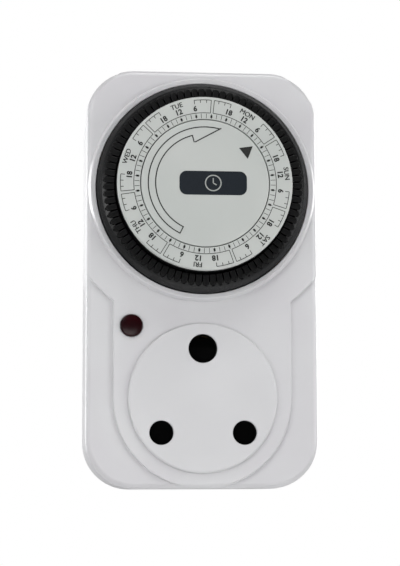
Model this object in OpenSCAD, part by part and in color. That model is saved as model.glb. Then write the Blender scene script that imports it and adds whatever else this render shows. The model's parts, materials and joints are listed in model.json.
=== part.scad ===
// Plug-in weekly timer: a tappet dial above a three-round-pin socket outlet.
// It is drawn as seen from its front: x to the right, y up, z out of the back face
// towards the user. upright() then turns it to +Z up with its front facing -Y.
// x = 0, y = 0 is the middle of the pin pattern, and z = 0 is the back face.

/* [Housing] */
// Width of the housing
body_w = 71.4; // [70:0.1:90]
// Height from the pin pattern's centre to the top edge
body_top = 101.9; // [101:0.1:125]
// Height from the pin pattern's centre to the bottom edge
body_bottom = 27.5; // [27.3:0.1:36]
// Radius of the two top corners
top_corner_r = 14.5; // [10:0.1:16]
// Radius of the two bottom corners
bottom_corner_r = 15; // [10:0.1:16]
// Depth of the rear housing, from the back face to the parting line
rear_depth = 16; // [16:0.1:22]
// Depth of the front cover, from the parting line to its lowest front face
cover_depth = 22; // [22:0.1:28]
// Thickness of the side walls and of the front face
wall = 2.2; // [1.6:0.1:2.4]
// Thickness of the back wall
back_wall = 2.4; // [2.1:0.1:2.8]
// Rise of the raised panel around the dial and the socket
plateau_rise = 1; // [0.5:0.1:2]
// Radius of the raised panel around the dial
panel_r = 44.5; // [40:0.1:48]
// Half width of the raised panel around the socket
panel_half_w = 27.45; // [24:0.05:30]

/* [Dial] */
// Height of the dial's centre above the pin pattern's centre
dial_y = 64.54; // [62:0.01:66]
// Outer radius of the printed day scale
scale_r = 26.76; // [22:0.01:27]
// Thickness of the printed day scale
scale_t = 1.6; // [1.2:0.1:2]
// Rise of the printed scale above the raised panel
scale_rise = 10.1; // [9:0.1:12]
// Radius of the fixed centre disc
centre_r = 19.5; // [14:0.1:19.8]
// Width of the dial ring's sloping rim
rim_w = 3.18; // [2:0.01:3.2]
// Height of the rim's inner edge above the raised panel
rim_in_rise = 5.3; // [4:0.1:7]
// Height of the rim's outer edge above the raised panel
rim_out_rise = 2.14; // [1.5:0.01:3]
// Width of the collar around the dial
collar_w = 1.5; // [1:0.1:1.8]
// Number of tappets for each day
tappets_a_day = 12; // [6:1:12]
// Radial size of a tappet
tappet_t = 1.8; // [1.4:0.1:1.9]
// Width of a tappet
tappet_w = 1.5; // [1:0.05:1.5]
// How far a tappet is pushed in to switch on
tappet_travel = 2.6; // [2:0.1:2.7]
// Direction of the pointer, anticlockwise from the right
pointer_angle = 38.5; // [36:0.5:42]
// Direction of the line between Saturday and Sunday
week_start = -18.2; // [-20:0.1:-16]
// Radius of the dial's fixed post
post_r = 3; // [2.5:0.1:3.2]

/* [Socket and plug] */
// Radius of the raised socket disc
disc_r = 22.9; // [22:0.1:23.5]
// Rise of the socket disc above the raised panel
disc_rise = 1; // [0.6:0.1:2]
// Earth pin radius
earth_pin_r = 4.35; // [4.3:0.01:4.4]
// Earth pin length
earth_pin_len = 28.6; // [24:0.1:29]
// Live and neutral pin radius
line_pin_r = 3.525; // [3.3:0.005:3.6]
// Live and neutral pin length
line_pin_len = 21.1; // [18:0.1:22]
// Height of the earth pin above the pattern's centre
earth_y = 15; // [14.8:0.1:15.4]
// Distance of the live and neutral pins from the centre line
line_x = 12.7; // [12.5:0.1:12.9]
// Distance of the live and neutral pins below the pattern's centre
line_drop = 10.6; // [10.4:0.1:10.9]
// Radius of the earth hole
earth_hole_r = 4.42; // [4.41:0.01:4.7]
// Radius of the live and neutral holes
line_hole_r = 3.68; // [3.65:0.01:3.75]
// Wall of the contact sleeves
sleeve_wall = 1.05; // [0.8:0.05:1.2]
// Travel of the shutter
shutter_travel = 8.2; // [8:0.1:8.4]

/* [Indicator] */
// Distance of the lamp's lens to the left of the centre line
lens_x = 21.8; // [21:0.1:22.4]
// Height of the lens above the pin pattern's centre
lens_y = 22; // [21:0.1:23]
// Radius of the lens
lens_r = 3.35; // [3:0.05:3.5]

/* [Drive] */
// Teeth of the gear under the dial
dial_teeth = 84; // [84:12:96]
// Teeth of the pinion that drives the dial
drive_teeth = 12; // [12:1:14]
// Teeth of the slipping wheel
wheel_teeth = 60; // [54:1:60]
// Teeth of the idler's pinion
idler_pinion_teeth = 10; // [10:1:12]
// Teeth of the idler's wheel
idler_teeth = 48; // [44:1:48]
// Teeth of the motor's output pinion
output_teeth = 12; // [12:1:14]
// Tooth module of the train
train_m = 0.5; // [0.46:0.01:0.52]
// Radius of the motor's can
motor_r = 17.5; // [16:0.1:18]
// Depth of the motor's can
motor_depth = 11.4; // [10:0.1:11.6]

/* [Hidden] */
$fn = 64;
SMALL = 32;                     // circle sides on small pieces
cut = 1;                        // how far a cutter runs past what it cuts
run_gap = 0.05;                 // a shaft in its bore
slide_gap = 0.1;                // a tappet in its slot
free_gap = 0.3;                 // between curved faces that pass each other
seat_gap = 0.02;                // a fixed pin in its hole

// levels, from the back face
face_h = rear_depth + cover_depth;
face_in = face_h - wall;
panel_h = face_h + plateau_rise;
disc_h = panel_h + disc_rise;
scale_top = panel_h + scale_rise;
drum_top = scale_top - scale_t;
web_top = panel_h - 2.6;
web_bottom = web_top - 1.8;
gear_bottom = web_bottom - 2.8;
tail_out = web_bottom - tappet_travel;
tail_in = tail_out - tappet_travel;
bench_top = gear_bottom - 10.8; // top of the movement plate
bench_t = 2;
bench_bottom = bench_top - bench_t;

// dial radii
drum_r = scale_r + 0.15;
slot_in_r = drum_r + 0.3;
slot_out_r = slot_in_r + tappet_t + 2 * slide_gap;
tappet_in_r = slot_in_r + slide_gap;
tappet_out_r = tappet_in_r + tappet_t;
tappet_mid_r = (tappet_in_r + tappet_out_r) / 2;
rim_in_r = slot_out_r + 0.25;
rim_r = rim_in_r + rim_w;
dial_hole_r = rim_r + free_gap;
days = 7;
tappet_step = 360 / (days * tappets_a_day);
tappet_angle = 2 * asin(tappet_w / 2 / tappet_mid_r);
slot_angle = 2 * asin((tappet_w / 2 + slide_gap) / tappet_mid_r);
cup_r = 6.4;                    // recess in the dial for the clip and the centre disc's boss
cup_floor = drum_top - 2.5;
clip_t = 0.8;

// housing fixings
boss_r = 3.2;
boss_inset = 8.5;
screw_r = 1.3;
screw_hole_r = 1.5;
bosses = [for (side = [-1, 1], y = [body_top - boss_inset, boss_inset - body_bottom])
    [side * (body_w / 2 - boss_inset), y]];
bench_posts = [[-28, dial_y - 26.5], [28, dial_y - 26.5], [14, dial_y + 29]];
bench_post_r = 3;
carrier_posts = [[-14, 5], [14, 5]];
lamp_post = [-lens_x - 5.7, lens_y];

// gear train
pinion_clear = 2.6;             // pinion tips to the tappets' tails
gear_play = 0.1;                // added to each pair's centre distance
tip_add = 0.9;                  // tooth tip above the pitch circle, in modules
root_sub = 1.2;                 // tooth root below the pitch circle, in modules
dial_m = (tappet_in_r - pinion_clear)
    / ((dial_teeth + drive_teeth) / 2 + drive_teeth / 2 + tip_add);
drive_dir = -90;
idler_dir = 150;
output_dir = 90;
dial_c = [0, dial_y];
clutch_c = dial_c + polar(dial_m * (dial_teeth + drive_teeth) / 2 + gear_play, drive_dir);
idler_c = clutch_c + polar(train_m * (wheel_teeth + idler_pinion_teeth) / 2 + gear_play, idler_dir);
output_c = idler_c + polar(train_m * (idler_teeth + output_teeth) / 2 + gear_play, output_dir);
dial_phase = 0;
drive_phase = mesh_phase(dial_phase, dial_teeth, drive_teeth, drive_dir);
wheel_phase = 0;
idler_pinion_phase = mesh_phase(wheel_phase, wheel_teeth, idler_pinion_teeth, idler_dir);
idler_phase = 0;
output_phase = mesh_phase(idler_phase, idler_teeth, output_teeth, output_dir);
axle_r = 1;
wheel_t = 2;
low_gear_h = bench_top + 0.4;   // idler wheel and output pinion
high_gear_h = low_gear_h + wheel_t + 0.6;
drive_pinion_h = high_gear_h + wheel_t + 1.8;

// motor, hung below the movement plate
motor_c = output_c + [2.4, 7];
end_plate_t = 0.8;
end_plate_h = bench_bottom - 3.7 - end_plate_t;
can_h = end_plate_h - motor_depth;
can_t = 0.8;
coil_h = can_h + can_t + 0.1;
coil_len = motor_depth - 2.1;
bobbin_in_r = 8;
bobbin_out_r = motor_r - 1.5;
bobbin_t = 0.8;
rotor_r = 6.5;
rotor_shaft_r = 0.8;
ear_dist = motor_r + 3.1;
motor_ears = [for (a = [75, 255]) motor_c + polar(ear_dist, a)];
gearhead_c = (motor_c + output_c) / 2;
gearhead_r = 11.5;
gearhead_t = 3.5;

// cam lever and snap switch
nose_c = dial_c + polar(tappet_mid_r, pointer_angle);
lever_x = nose_c[0];
lever_arm = 24;
lever_y = nose_c[1] - lever_arm;
lever_h = tail_in - 1.5;
lever_w = 4;
lever_t = 1.8;
lever_pin_r = 0.75;
nose_top = tail_out - 0.4;
finger_rise = 0.2;              // underside of the lever's finger above the lever's axis
finger_t = 1.2;
heel_arm = 18;
heel_half = 0.6;
heel_bottom = lever_h - 1.6;
leaf_top = heel_bottom - 0.2;
leaf_t = 0.4;
leaf_h = leaf_top - leaf_t;
leaf_root_y = lever_y + 32;
leaf_len = 20;
rivet_y = leaf_root_y - 18;
rivet_r = 1.5;
base_t = 0.8;
strip_t = 0.8;
strip_h = bench_top + base_t;
ear_t = 1.2;
live_in_x = lever_x - 4.4;      // left edge of the incoming strip
live_in_w = 2.2;
live_out_x = lever_x - 1;       // left edge of the outgoing strip
live_out_w = 2.1;
live_in_h = 5;                  // underside of the incoming strip
live_out_h = 8;                 // underside of the outgoing strip
riser_y = lever_y + 7.1;
terminal_y = leaf_root_y + 0.4;
terminal_len = 3.6;

// socket stack
line_y = -line_drop;
lines = [[-line_x, line_y], [line_x, line_y]];
flange_t = 1.8;
insert_h = face_in - flange_t;
carrier_top = insert_h - 2.8;
carrier_h = 13;
sleeve_top = carrier_top - 0.2;
earth_bore_h = disc_h - earth_pin_len - 2.4;
line_bore_h = disc_h - line_pin_len - 3.9;
sleeve_base_t = 2;
pin_nose = 1;                   // chamfer at a plug pin's end
pin_step = 0.5;                 // a plug pin is this much slimmer inside the back wall
pin_recess = 0.5;
shutter_h = carrier_top + 0.2;
shutter_t = 2;
bar_half_w = line_x + line_hole_r + 0.8;
bar_top = line_y + line_hole_r + 0.5;
bar_bottom = line_y - line_hole_r - 0.9;
stem_half_w = 5.2;
stem_top = earth_y - earth_pin_r - 0.1 + shutter_travel;
window_half_w = 2.4;
window_bottom = -4.5;
peg_len = 1.6;
peg_top = window_bottom + 0.2 + peg_len;
spring_solid = 2.5;             // length of the shutter's spring when it is pressed flat
window_top = peg_top + spring_solid + shutter_travel;
spring_turns = 6;
spring_r = 0.65;
spring_wire_r = 0.15;

// indicator's board and leads
board_h = bench_top + 1;
board_t = 1.6;
lead_r = 0.5;
lead_run_h = back_wall + 6.7;   // height of the motor leads on their way to the pins

// override switch in the right wall
knob_travel = 4;
knob_y = dial_y + 1.76;
knob_len = 7.2;
knob_window = knob_len + knob_travel + 0.8;
knob_h = bench_top + 3;
knob_window_h = 6;

// ---- helpers ----

function polar(r, a) = [r * cos(a), r * sin(a)];

// Points along an arc, both ends included.
function arc(c, r, from, to, steps = 16) =
    [for (i = [0:steps]) c + polar(r, from + (to - from) * i / steps)];

// Where a gear's first tooth points, so that it meshes with the gear it sits beside in direction dir.
function mesh_phase(phase, teeth, next_teeth, dir) =
    let (f = (dir - phase) * teeth / 360)
    dir + 180 - (0.5 - (f - floor(f))) * 360 / next_teeth;

// Rounded outline of the housing, drawn inset from its outer surface.
function outline(inset = 0) =
    let (x = body_w / 2 - inset, rt = top_corner_r - inset, rb = bottom_corner_r - inset,
         top = body_top - inset, low = inset - body_bottom)
    concat(arc([x - rt, top - rt], rt, 0, 90), arc([rt - x, top - rt], rt, 90, 180),
           arc([rb - x, low + rb], rb, 180, 270), arc([x - rb, low + rb], rb, 270, 360));

module upright() rotate([90, 0, 0]) children();

module at(c, h = 0) translate([c[0], c[1], h]) children();

module disc(r, low, high, n = $fn) translate([0, 0, low]) cylinder(r = r, h = high - low, $fn = n);

module ring(r_out, r_in, low, high, n = $fn) difference() {
    disc(r_out, low, high, n);
    disc(r_in, low - cut, high + cut, n);
}

module slab(points, low, high) translate([0, 0, low]) linear_extrude(high - low) polygon(points);

module box(from, to) translate(from) cube(to - from);

module turned(points, n = $fn) rotate_extrude($fn = n) polygon(points);

// A screw that points up: its head starts at low, and its shank ends at high.
module screw(low, high, head_r = 2.4, head_t = 1.6, shank_r = screw_r) {
    difference() {
        disc(head_r, low, low + head_t, SMALL);
        box([-head_r - cut, -0.3, low - cut], [head_r + cut, 0.3, low + 0.6]);
    }
    disc(shank_r, low + head_t - 0.2, high, SMALL);
}

// A screw that points down: its head ends at high, and its shank ends at low.
module screw_down(low, high, head_r = 2.4, head_t = 1.6, shank_r = screw_r)
    translate([0, 0, low + high]) mirror([0, 0, 1]) screw(low, high, head_r, head_t, shank_r);

// Spur gear with straight-sided teeth, slim enough to leave backlash.
module gear(teeth, m, phase, t) linear_extrude(t) polygon([
    for (i = [0:teeth - 1], p = [[-0.33, -root_sub], [-0.13, tip_add], [0.13, tip_add], [0.33, -root_sub]])
        polar(m * (teeth / 2 + p[1]), phase + (i + p[0]) * 360 / teeth)]);

function unit(v) = v / norm(v);

// Round wire through a list of points, as one closed polyhedron.
module wire(path, r, aside, sides = 8) {
    last = len(path) - 1;
    along = [for (i = [0:last]) unit(path[min(i + 1, last)] - path[max(i - 1, 0)])];
    out = [for (t = along) unit(cross(t, aside))];
    rings = [for (i = [0:last], k = [0:sides - 1])
        path[i] + r * (cos(360 * k / sides) * out[i] + sin(360 * k / sides) * cross(along[i], out[i]))];
    walls = [for (i = [0:last - 1], k = [0:sides - 1])
        let (a = i * sides, b = (k + 1) % sides) [a + k, a + sides + k, a + sides + b, a + b]];
    polyhedron(rings, concat(walls, [[for (k = [0:sides - 1]) k],
        [for (k = [sides - 1:-1:0]) last * sides + k]]));
}

// ---- housing ----

module panel_shape(low, high) intersection() {
    slab(outline(), low, high);
    union() {
        at(dial_c) disc(panel_r, low, high, 128);
        slab(concat([[panel_half_w, dial_y], [-panel_half_w, dial_y]],
            arc([0, 0], panel_half_w, 180, 360, 48)), low, high);
    }
}

module front_cover() color("gainsboro") difference() {
    union() {
        difference() {
            union() {
                slab(outline(), rear_depth, face_h);
                panel_shape(face_h - cut, panel_h);
                at(dial_c) turned([[dial_hole_r, panel_h - cut], [dial_hole_r + collar_w + 0.8, panel_h - cut],
                    [dial_hole_r + collar_w + 0.8, panel_h + 0.4],
                    [dial_hole_r + collar_w, panel_h + rim_out_rise],
                    [dial_hole_r, panel_h + rim_out_rise]], 128);
            }
            slab(outline(wall), rear_depth - cut, face_in);
        }
        for (b = bosses) at(b) disc(boss_r, rear_depth, face_in + cut / 2, SMALL);
    }
    at(dial_c) disc(dial_hole_r, face_in - cut, panel_h + rim_out_rise + cut, 128);
    disc(disc_r + slide_gap, face_in - cut, disc_h, 128);
    at([-lens_x, lens_y]) disc(lens_r + slide_gap, face_in - cut, panel_h + cut, SMALL);
    for (b = bosses) at(b) disc(screw_r + run_gap, rear_depth - cut, rear_depth + 10, SMALL);
    box([body_w / 2 - wall - cut, knob_y - 0.3, knob_h],
        [body_w / 2 + cut, knob_y - 0.3 + knob_window, knob_h + knob_window_h]);
}

// Hole in the back wall for a plug pin, with a shallow recess around the pin's shoulder.
module pin_hole(r) {
    disc(r - pin_step + seat_gap, -cut, back_wall + cut);
    disc(r + seat_gap, -cut, pin_recess);
}

module rear_housing() color("gainsboro") difference() {
    union() {
        difference() {
            slab(outline(), 0, rear_depth);
            slab(outline(wall), back_wall, rear_depth + cut);
        }
        for (b = bosses) at(b) disc(boss_r, back_wall - cut, rear_depth, SMALL);
        for (b = bench_posts) at(b) disc(bench_post_r, back_wall - cut, bench_bottom, SMALL);
        for (b = carrier_posts) at(b) disc(bench_post_r, back_wall - cut, carrier_h, SMALL);
        at(lamp_post) disc(2.6, back_wall - cut, bench_top + 1, SMALL);
    }
    for (b = bosses) at(b) {
        disc(screw_hole_r, -cut, rear_depth + cut, SMALL);
        disc(2.7, -cut, 2.1, SMALL);
    }
    for (b = bench_posts) at(b) disc(screw_r + run_gap, bench_bottom - 8, bench_bottom + cut, SMALL);
    for (b = carrier_posts) at(b) disc(screw_r + run_gap, back_wall + 2, carrier_h + cut, SMALL);
    at(lamp_post) disc(1 + run_gap, bench_top - 6, bench_top + 1 + cut, SMALL);
    at([0, earth_y]) pin_hole(earth_pin_r);
    for (c = lines) at(c) pin_hole(line_pin_r);
}

module socket_insert() color("whitesmoke") difference() {
    union() {
        disc(disc_r, insert_h, disc_h, 128);
        disc(disc_r + 1.7, insert_h, face_in, 128);
    }
    at([0, earth_y]) disc(earth_hole_r, insert_h - cut, disc_h + cut);
    for (c = lines) at(c) disc(line_hole_r, insert_h - cut, disc_h + cut);
}

module neon_lens() color("darkred") at([-lens_x, lens_y]) difference() {
    turned(concat([[0, face_in - 1.4], [lens_r + 0.9, face_in - 1.4], [lens_r + 0.9, face_in],
        [lens_r, face_in], [lens_r, panel_h + 0.2]],
        [for (i = [1:8]) [lens_r * cos(i * 90 / 8), panel_h + 0.2 + 0.8 * sin(i * 90 / 8)]]), SMALL);
    disc(2.4, face_in - 1.4 - cut, panel_h - 0.8, SMALL);
}

module housing_screws() color("silver") for (b = bosses) at(b) screw(0.4, rear_depth + 9);

// ---- dial ----

module dial_ring() color("dimgray") at(dial_c) difference() {
    union() {
        turned([[post_r + run_gap, gear_bottom], [cup_r + 1.6, gear_bottom],
            [cup_r + 1.6, drum_top - 1.6], [drum_r - 1.8, drum_top - 1.6], [drum_r - 1.8, web_top],
            [(dial_teeth / 2 - 2) * dial_m, web_top], [(dial_teeth / 2 - 2) * dial_m, web_bottom],
            [rim_r, web_bottom], [rim_r, panel_h + rim_out_rise], [rim_in_r, panel_h + rim_in_rise],
            [rim_in_r, web_top], [drum_r, web_top], [drum_r, drum_top], [cup_r, drum_top],
            [cup_r, cup_floor], [post_r + run_gap, cup_floor]], 128);
        translate([0, 0, gear_bottom]) difference() {
            gear(dial_teeth, dial_m, dial_phase, web_bottom - gear_bottom + 0.2);
            disc((dial_teeth / 2 - 4) * dial_m, -cut, web_top);
        }
    }
    for (i = [0:days * tappets_a_day - 1])
        rotate(week_start + (i + 0.5) * tappet_step - slot_angle / 2)
            translate([0, 0, web_bottom - cut])
                rotate_extrude(angle = slot_angle, $fn = 128)
                    polygon([[slot_in_r, 0], [slot_out_r, 0], [slot_out_r, web_top - web_bottom + 2 * cut],
                        [slot_in_r, web_top - web_bottom + 2 * cut]]);
}

module dial_scale() color("ivory") at(dial_c) ring(scale_r, centre_r + free_gap, drum_top, scale_top, 128);

// The tappets of one day: day 0 is Sunday.
module day_tappets(day) color("black") at(dial_c)
    for (i = [0:tappets_a_day - 1])
        rotate(week_start + (day * tappets_a_day + i + 0.5) * tappet_step - tappet_angle / 2)
            rotate_extrude(angle = tappet_angle, $fn = 128)
                polygon([[tappet_in_r, tail_out], [tappet_out_r, tail_out],
                    [tappet_out_r, panel_h + rim_in_rise - 0.3],
                    [tappet_in_r, panel_h + rim_in_rise - 0.3]]);

module centre_disc() color("ivory") at(dial_c) difference() {
    union() {
        disc(centre_r, drum_top + 0.4, scale_top, 128);
        disc(cup_r - 1.4, cup_floor + 1.4, drum_top + 0.6, SMALL);
    }
    box([-2.05, -2.05, cup_floor], [2.05, 2.05, drum_top + 0.9]);
}

module dial_post() color("white") at(dial_c) {
    disc(post_r + 2, bench_top, bench_top + 1.5, SMALL);
    disc(post_r + 1.5, bench_top, gear_bottom - slide_gap, SMALL);
    disc(post_r, bench_bottom + 0.5, cup_floor + 0.05);
    disc(post_r - 0.5, cup_floor, cup_floor + 1.2);
    disc(post_r, cup_floor + 0.95, cup_floor + 1.35);
    box([-2, -2, cup_floor + 1], [2, 2, drum_top + 0.8]);
}

module retaining_clip() color("silver") at(dial_c) difference() {
    ring(cup_r - 1.2, post_r - 0.45, cup_floor + 0.08, cup_floor + 0.08 + clip_t, SMALL);
    box([0, -post_r + 0.9, cup_floor - cut], [cup_r + cut, post_r - 0.9, cup_floor + 2]);
}

// ---- movement ----

module movement_plate() color("tan") difference() {
    union() {
        slab(concat(arc([21, dial_y + 22], 10, 0, 90), arc([-21, dial_y + 22], 10, 90, 180),
            arc([-27, dial_y - 27.5], 4, 180, 270), arc([27, dial_y - 27.5], 4, 270, 360)),
            bench_bottom, bench_top);
        for (c = motor_ears) at(c) disc(2.6, end_plate_h + end_plate_t, bench_bottom + cut, SMALL);
    }
    for (b = bosses) at(b) disc(boss_r + 0.8, bench_bottom - cut, bench_top + cut, SMALL);
    for (b = bench_posts) at(b) disc(screw_hole_r, bench_bottom - cut, bench_top + cut, SMALL);
    for (c = motor_ears) at(c) disc(screw_r - 0.2 + run_gap, end_plate_h, bench_top - 0.4, SMALL);
    at(output_c) disc(3.6, bench_bottom - cut, bench_top + cut, SMALL);
    for (c = [idler_c, clutch_c])
        at(c) disc(axle_r + seat_gap, bench_bottom + 0.4, bench_top + cut, SMALL);
    at(dial_c) disc(post_r + seat_gap, bench_bottom + 0.4, bench_top + cut);
    box([live_in_x - 0.4, riser_y - 0.4, bench_bottom - cut],
        [live_in_x + live_in_w + 0.4, riser_y + strip_t + 0.4, bench_top + cut]);
    box([live_out_x - 0.4, terminal_y + terminal_len - 0.4, bench_bottom - cut],
        [live_out_x + live_out_w + 0.4, terminal_y + terminal_len + strip_t + 0.4, bench_top + cut]);
}

module movement_screws() color("silver")
    for (b = bench_posts) at(b) screw_down(bench_bottom - 7, bench_top + 1.6);

module motor_can() color("lightsteelblue") at(motor_c) {
    difference() {
        disc(motor_r, can_h, end_plate_h, 96);
        disc(motor_r - can_t, can_h + can_t, end_plate_h + cut, 96);
        disc(rotor_shaft_r + run_gap, can_h - cut, can_h + can_t + cut, SMALL);
    }
    for (i = [0:5]) rotate(i * 60) rotate_extrude(angle = 20, $fn = 96)
        polygon([[rotor_r + 0.6, can_h + can_t / 2], [rotor_r + 1.2, can_h + can_t / 2],
            [rotor_r + 1.2, end_plate_h - 3], [rotor_r + 0.6, end_plate_h - 3]]);
}

module motor_end_plate() color("lightsteelblue") difference() {
    union() {
        at(motor_c) disc(motor_r + 0.4, end_plate_h, end_plate_h + end_plate_t, 96);
        for (c = motor_ears) at(c) disc(3, end_plate_h, end_plate_h + end_plate_t, SMALL);
    }
    at(motor_c) disc(rotor_shaft_r + run_gap, end_plate_h - cut, end_plate_h + 2 * end_plate_t, SMALL);
    for (c = motor_ears) at(c) disc(screw_r, end_plate_h - cut, end_plate_h + 2 * end_plate_t, SMALL);
}

module coil_bobbin() color("ivory") at(motor_c) {
    ring(bobbin_in_r + bobbin_t, bobbin_in_r, coil_h, coil_h + coil_len);
    for (h = [coil_h, coil_h + coil_len - bobbin_t])
        ring(bobbin_out_r, bobbin_in_r, h, h + bobbin_t);
}

module coil_winding() color("peru") at(motor_c)
    ring(bobbin_out_r - 0.4, bobbin_in_r + bobbin_t, coil_h + bobbin_t, coil_h + coil_len - bobbin_t);

module motor_rotor() color("darkslategray") at(motor_c)
    ring(rotor_r, rotor_shaft_r, coil_h + 0.6, coil_h + coil_len - 1);

module rotor_shaft() color("silver") at(motor_c)
    disc(rotor_shaft_r, can_h + 0.2, end_plate_h + end_plate_t + 1.2, SMALL);

module motor_gearhead() color("khaki") difference() {
    union() {
        at(gearhead_c) disc(gearhead_r, end_plate_h + end_plate_t, end_plate_h + end_plate_t + gearhead_t);
        at(output_c) disc(3.4, end_plate_h + end_plate_t + 1, bench_top - 0.1, SMALL);
    }
    at(motor_c) disc(rotor_shaft_r + run_gap, end_plate_h, end_plate_h + end_plate_t + 1.4, SMALL);
    at(output_c) disc(axle_r + run_gap, end_plate_h + end_plate_t + 1.4, bench_top + cut, SMALL);
}

module motor_screws() color("silver")
    for (c = motor_ears) at(c) screw(end_plate_h - 1.4, bench_bottom + 1.2, 2.2, 1.4, screw_r - 0.2);

module output_pinion() color("gold") at(output_c) {
    translate([0, 0, low_gear_h]) gear(output_teeth, train_m, output_phase, wheel_t);
    disc(axle_r, end_plate_h + end_plate_t + 1.6, low_gear_h + 1, SMALL);
}

module idler_gear() color("beige") at(idler_c) difference() {
    union() {
        translate([0, 0, low_gear_h]) gear(idler_teeth, train_m, idler_phase, wheel_t);
        translate([0, 0, low_gear_h + 1]) gear(idler_pinion_teeth, train_m, idler_pinion_phase,
            high_gear_h + wheel_t - low_gear_h - 0.8);
    }
    disc(axle_r + run_gap, low_gear_h - cut, high_gear_h + wheel_t + cut, SMALL);
}

module idler_axle() color("silver")
    at(idler_c) disc(axle_r, bench_bottom + 0.6, high_gear_h + wheel_t + 1, SMALL);

module clutch_wheel() color("beige") at(clutch_c) difference() {
    union() {
        translate([0, 0, high_gear_h]) gear(wheel_teeth, train_m, wheel_phase, wheel_t);
        disc(3, bench_top + 0.2, high_gear_h + 0.5, SMALL);
    }
    disc(axle_r + run_gap, bench_top, high_gear_h + wheel_t + cut, SMALL);
}

module clutch_spring() color("silver") at(clutch_c)
    turned([[1.5, drive_pinion_h - 0.5], [1.5, drive_pinion_h], [4.5, high_gear_h + wheel_t + 0.55],
        [4.5, high_gear_h + wheel_t + 0.05]], SMALL);

module drive_pinion() color("beige") at(clutch_c) difference() {
    translate([0, 0, drive_pinion_h])
        gear(drive_teeth, dial_m, drive_phase, web_bottom - 0.3 - drive_pinion_h);
    disc(axle_r + run_gap, drive_pinion_h - cut, web_bottom + cut, SMALL);
}

module clutch_axle() color("silver") at(clutch_c) disc(axle_r, bench_bottom + 0.6, web_bottom - 0.4, SMALL);

// ---- switch ----

module switch_base() color("sienna") difference() {
    union() {
        box([lever_x - 5, lever_y - 2, bench_top], [lever_x + 4.4, leaf_root_y - 1, strip_h]);
        box([lever_x - 3, leaf_root_y - 2, bench_top],
            [lever_x + 1.3, terminal_y + terminal_len - 0.3, strip_h]);
        for (x = [lever_x - lever_w / 2 - ear_t - 0.2, lever_x + lever_w / 2 + 0.2])
            box([x, lever_y - 1.5, bench_top], [x + ear_t, lever_y + 1.5, lever_h + 1.3]);
    }
    translate([lever_x - lever_w, lever_y, lever_h]) rotate([0, 90, 0])
        disc(lever_pin_r + seat_gap, -cut, 2 * lever_w + cut, SMALL);
    box([live_in_x - 0.2, riser_y - 0.2, bench_top - cut],
        [live_in_x + live_in_w + 0.2, riser_y + strip_t + 0.2, strip_h + cut]);
}

module cam_lever() color("white") difference() {
    union() {
        translate([lever_x - lever_w / 2, lever_y, lever_h]) rotate([0, 90, 0])
            disc(1.2, 0, lever_w, SMALL);
        box([lever_x - lever_w / 2, lever_y, lever_h - lever_t / 2],
            [lever_x + lever_w / 2, lever_y + heel_arm + heel_half, lever_h + lever_t / 2]);
        box([lever_x - lever_w / 2, lever_y + heel_arm - 2, lever_h + finger_rise],
            [lever_x + lever_w / 2, nose_c[1] + 1.5, lever_h + finger_rise + finger_t]);
        box([lever_x - 1.4, nose_c[1] - 1, lever_h + finger_rise],
            [lever_x + 1.4, nose_c[1] + 1, nose_top]);
        box([lever_x - 1, lever_y + heel_arm - heel_half, heel_bottom],
            [lever_x + 1, lever_y + heel_arm + heel_half, lever_h]);
    }
    translate([lever_x - lever_w / 2, lever_y, lever_h]) rotate([0, 90, 0])
        disc(lever_pin_r + run_gap, -cut, lever_w + cut, SMALL);
}

module lever_pin() color("silver")
    translate([lever_x, lever_y, lever_h]) rotate([0, 90, 0])
        disc(lever_pin_r, -lever_w / 2 - ear_t - 0.1, lever_w / 2 + ear_t + 0.1, SMALL);

module contact_leaf() color("goldenrod") {
    box([lever_x - 1.6, leaf_root_y - leaf_len, leaf_h], [lever_x + 1.6, leaf_root_y + 0.2, leaf_top]);
    at([lever_x, rivet_y]) disc(rivet_r, leaf_h - 0.6, leaf_h + 0.1, SMALL);
}

module leaf_terminal() color("goldenrod")
    box([lever_x - 2.4, terminal_y, strip_h], [lever_x + 1.2, terminal_y + terminal_len, leaf_top + 0.8]);

module fixed_contact() color("goldenrod") {
    box([live_in_x, riser_y, strip_h], [lever_x + 2, rivet_y + 2, strip_h + 0.3]);
    at([lever_x, rivet_y]) disc(rivet_r, strip_h + 0.1, strip_h + 0.6, SMALL);
}

module override_knob() color("dimgray") {
    inner_x = body_w / 2 - wall;
    difference() {
        box([inner_x - 0.5, knob_y, knob_h + 0.3],
            [body_w / 2 - 0.3, knob_y + knob_len, knob_h + knob_window_h - 0.3]);
        for (i = [0:4]) box([body_w / 2 - 0.7, knob_y + 1.1 + i * 1.1, knob_h],
            [body_w / 2, knob_y + 1.6 + i * 1.1, knob_h + knob_window_h]);
    }
    box([inner_x - 1.3, knob_y - knob_travel - 0.8, knob_h - 1.5],
        [inner_x - 0.2, knob_y + knob_window + 0.2, knob_h + knob_window_h + 1.5]);
    box([lever_x + lever_w / 2 + 0.5, knob_y + 7.7, knob_h + 0.3],
        [inner_x - 1, knob_y + 9.7, knob_h + 1.8]);
}

// ---- socket ----

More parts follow.
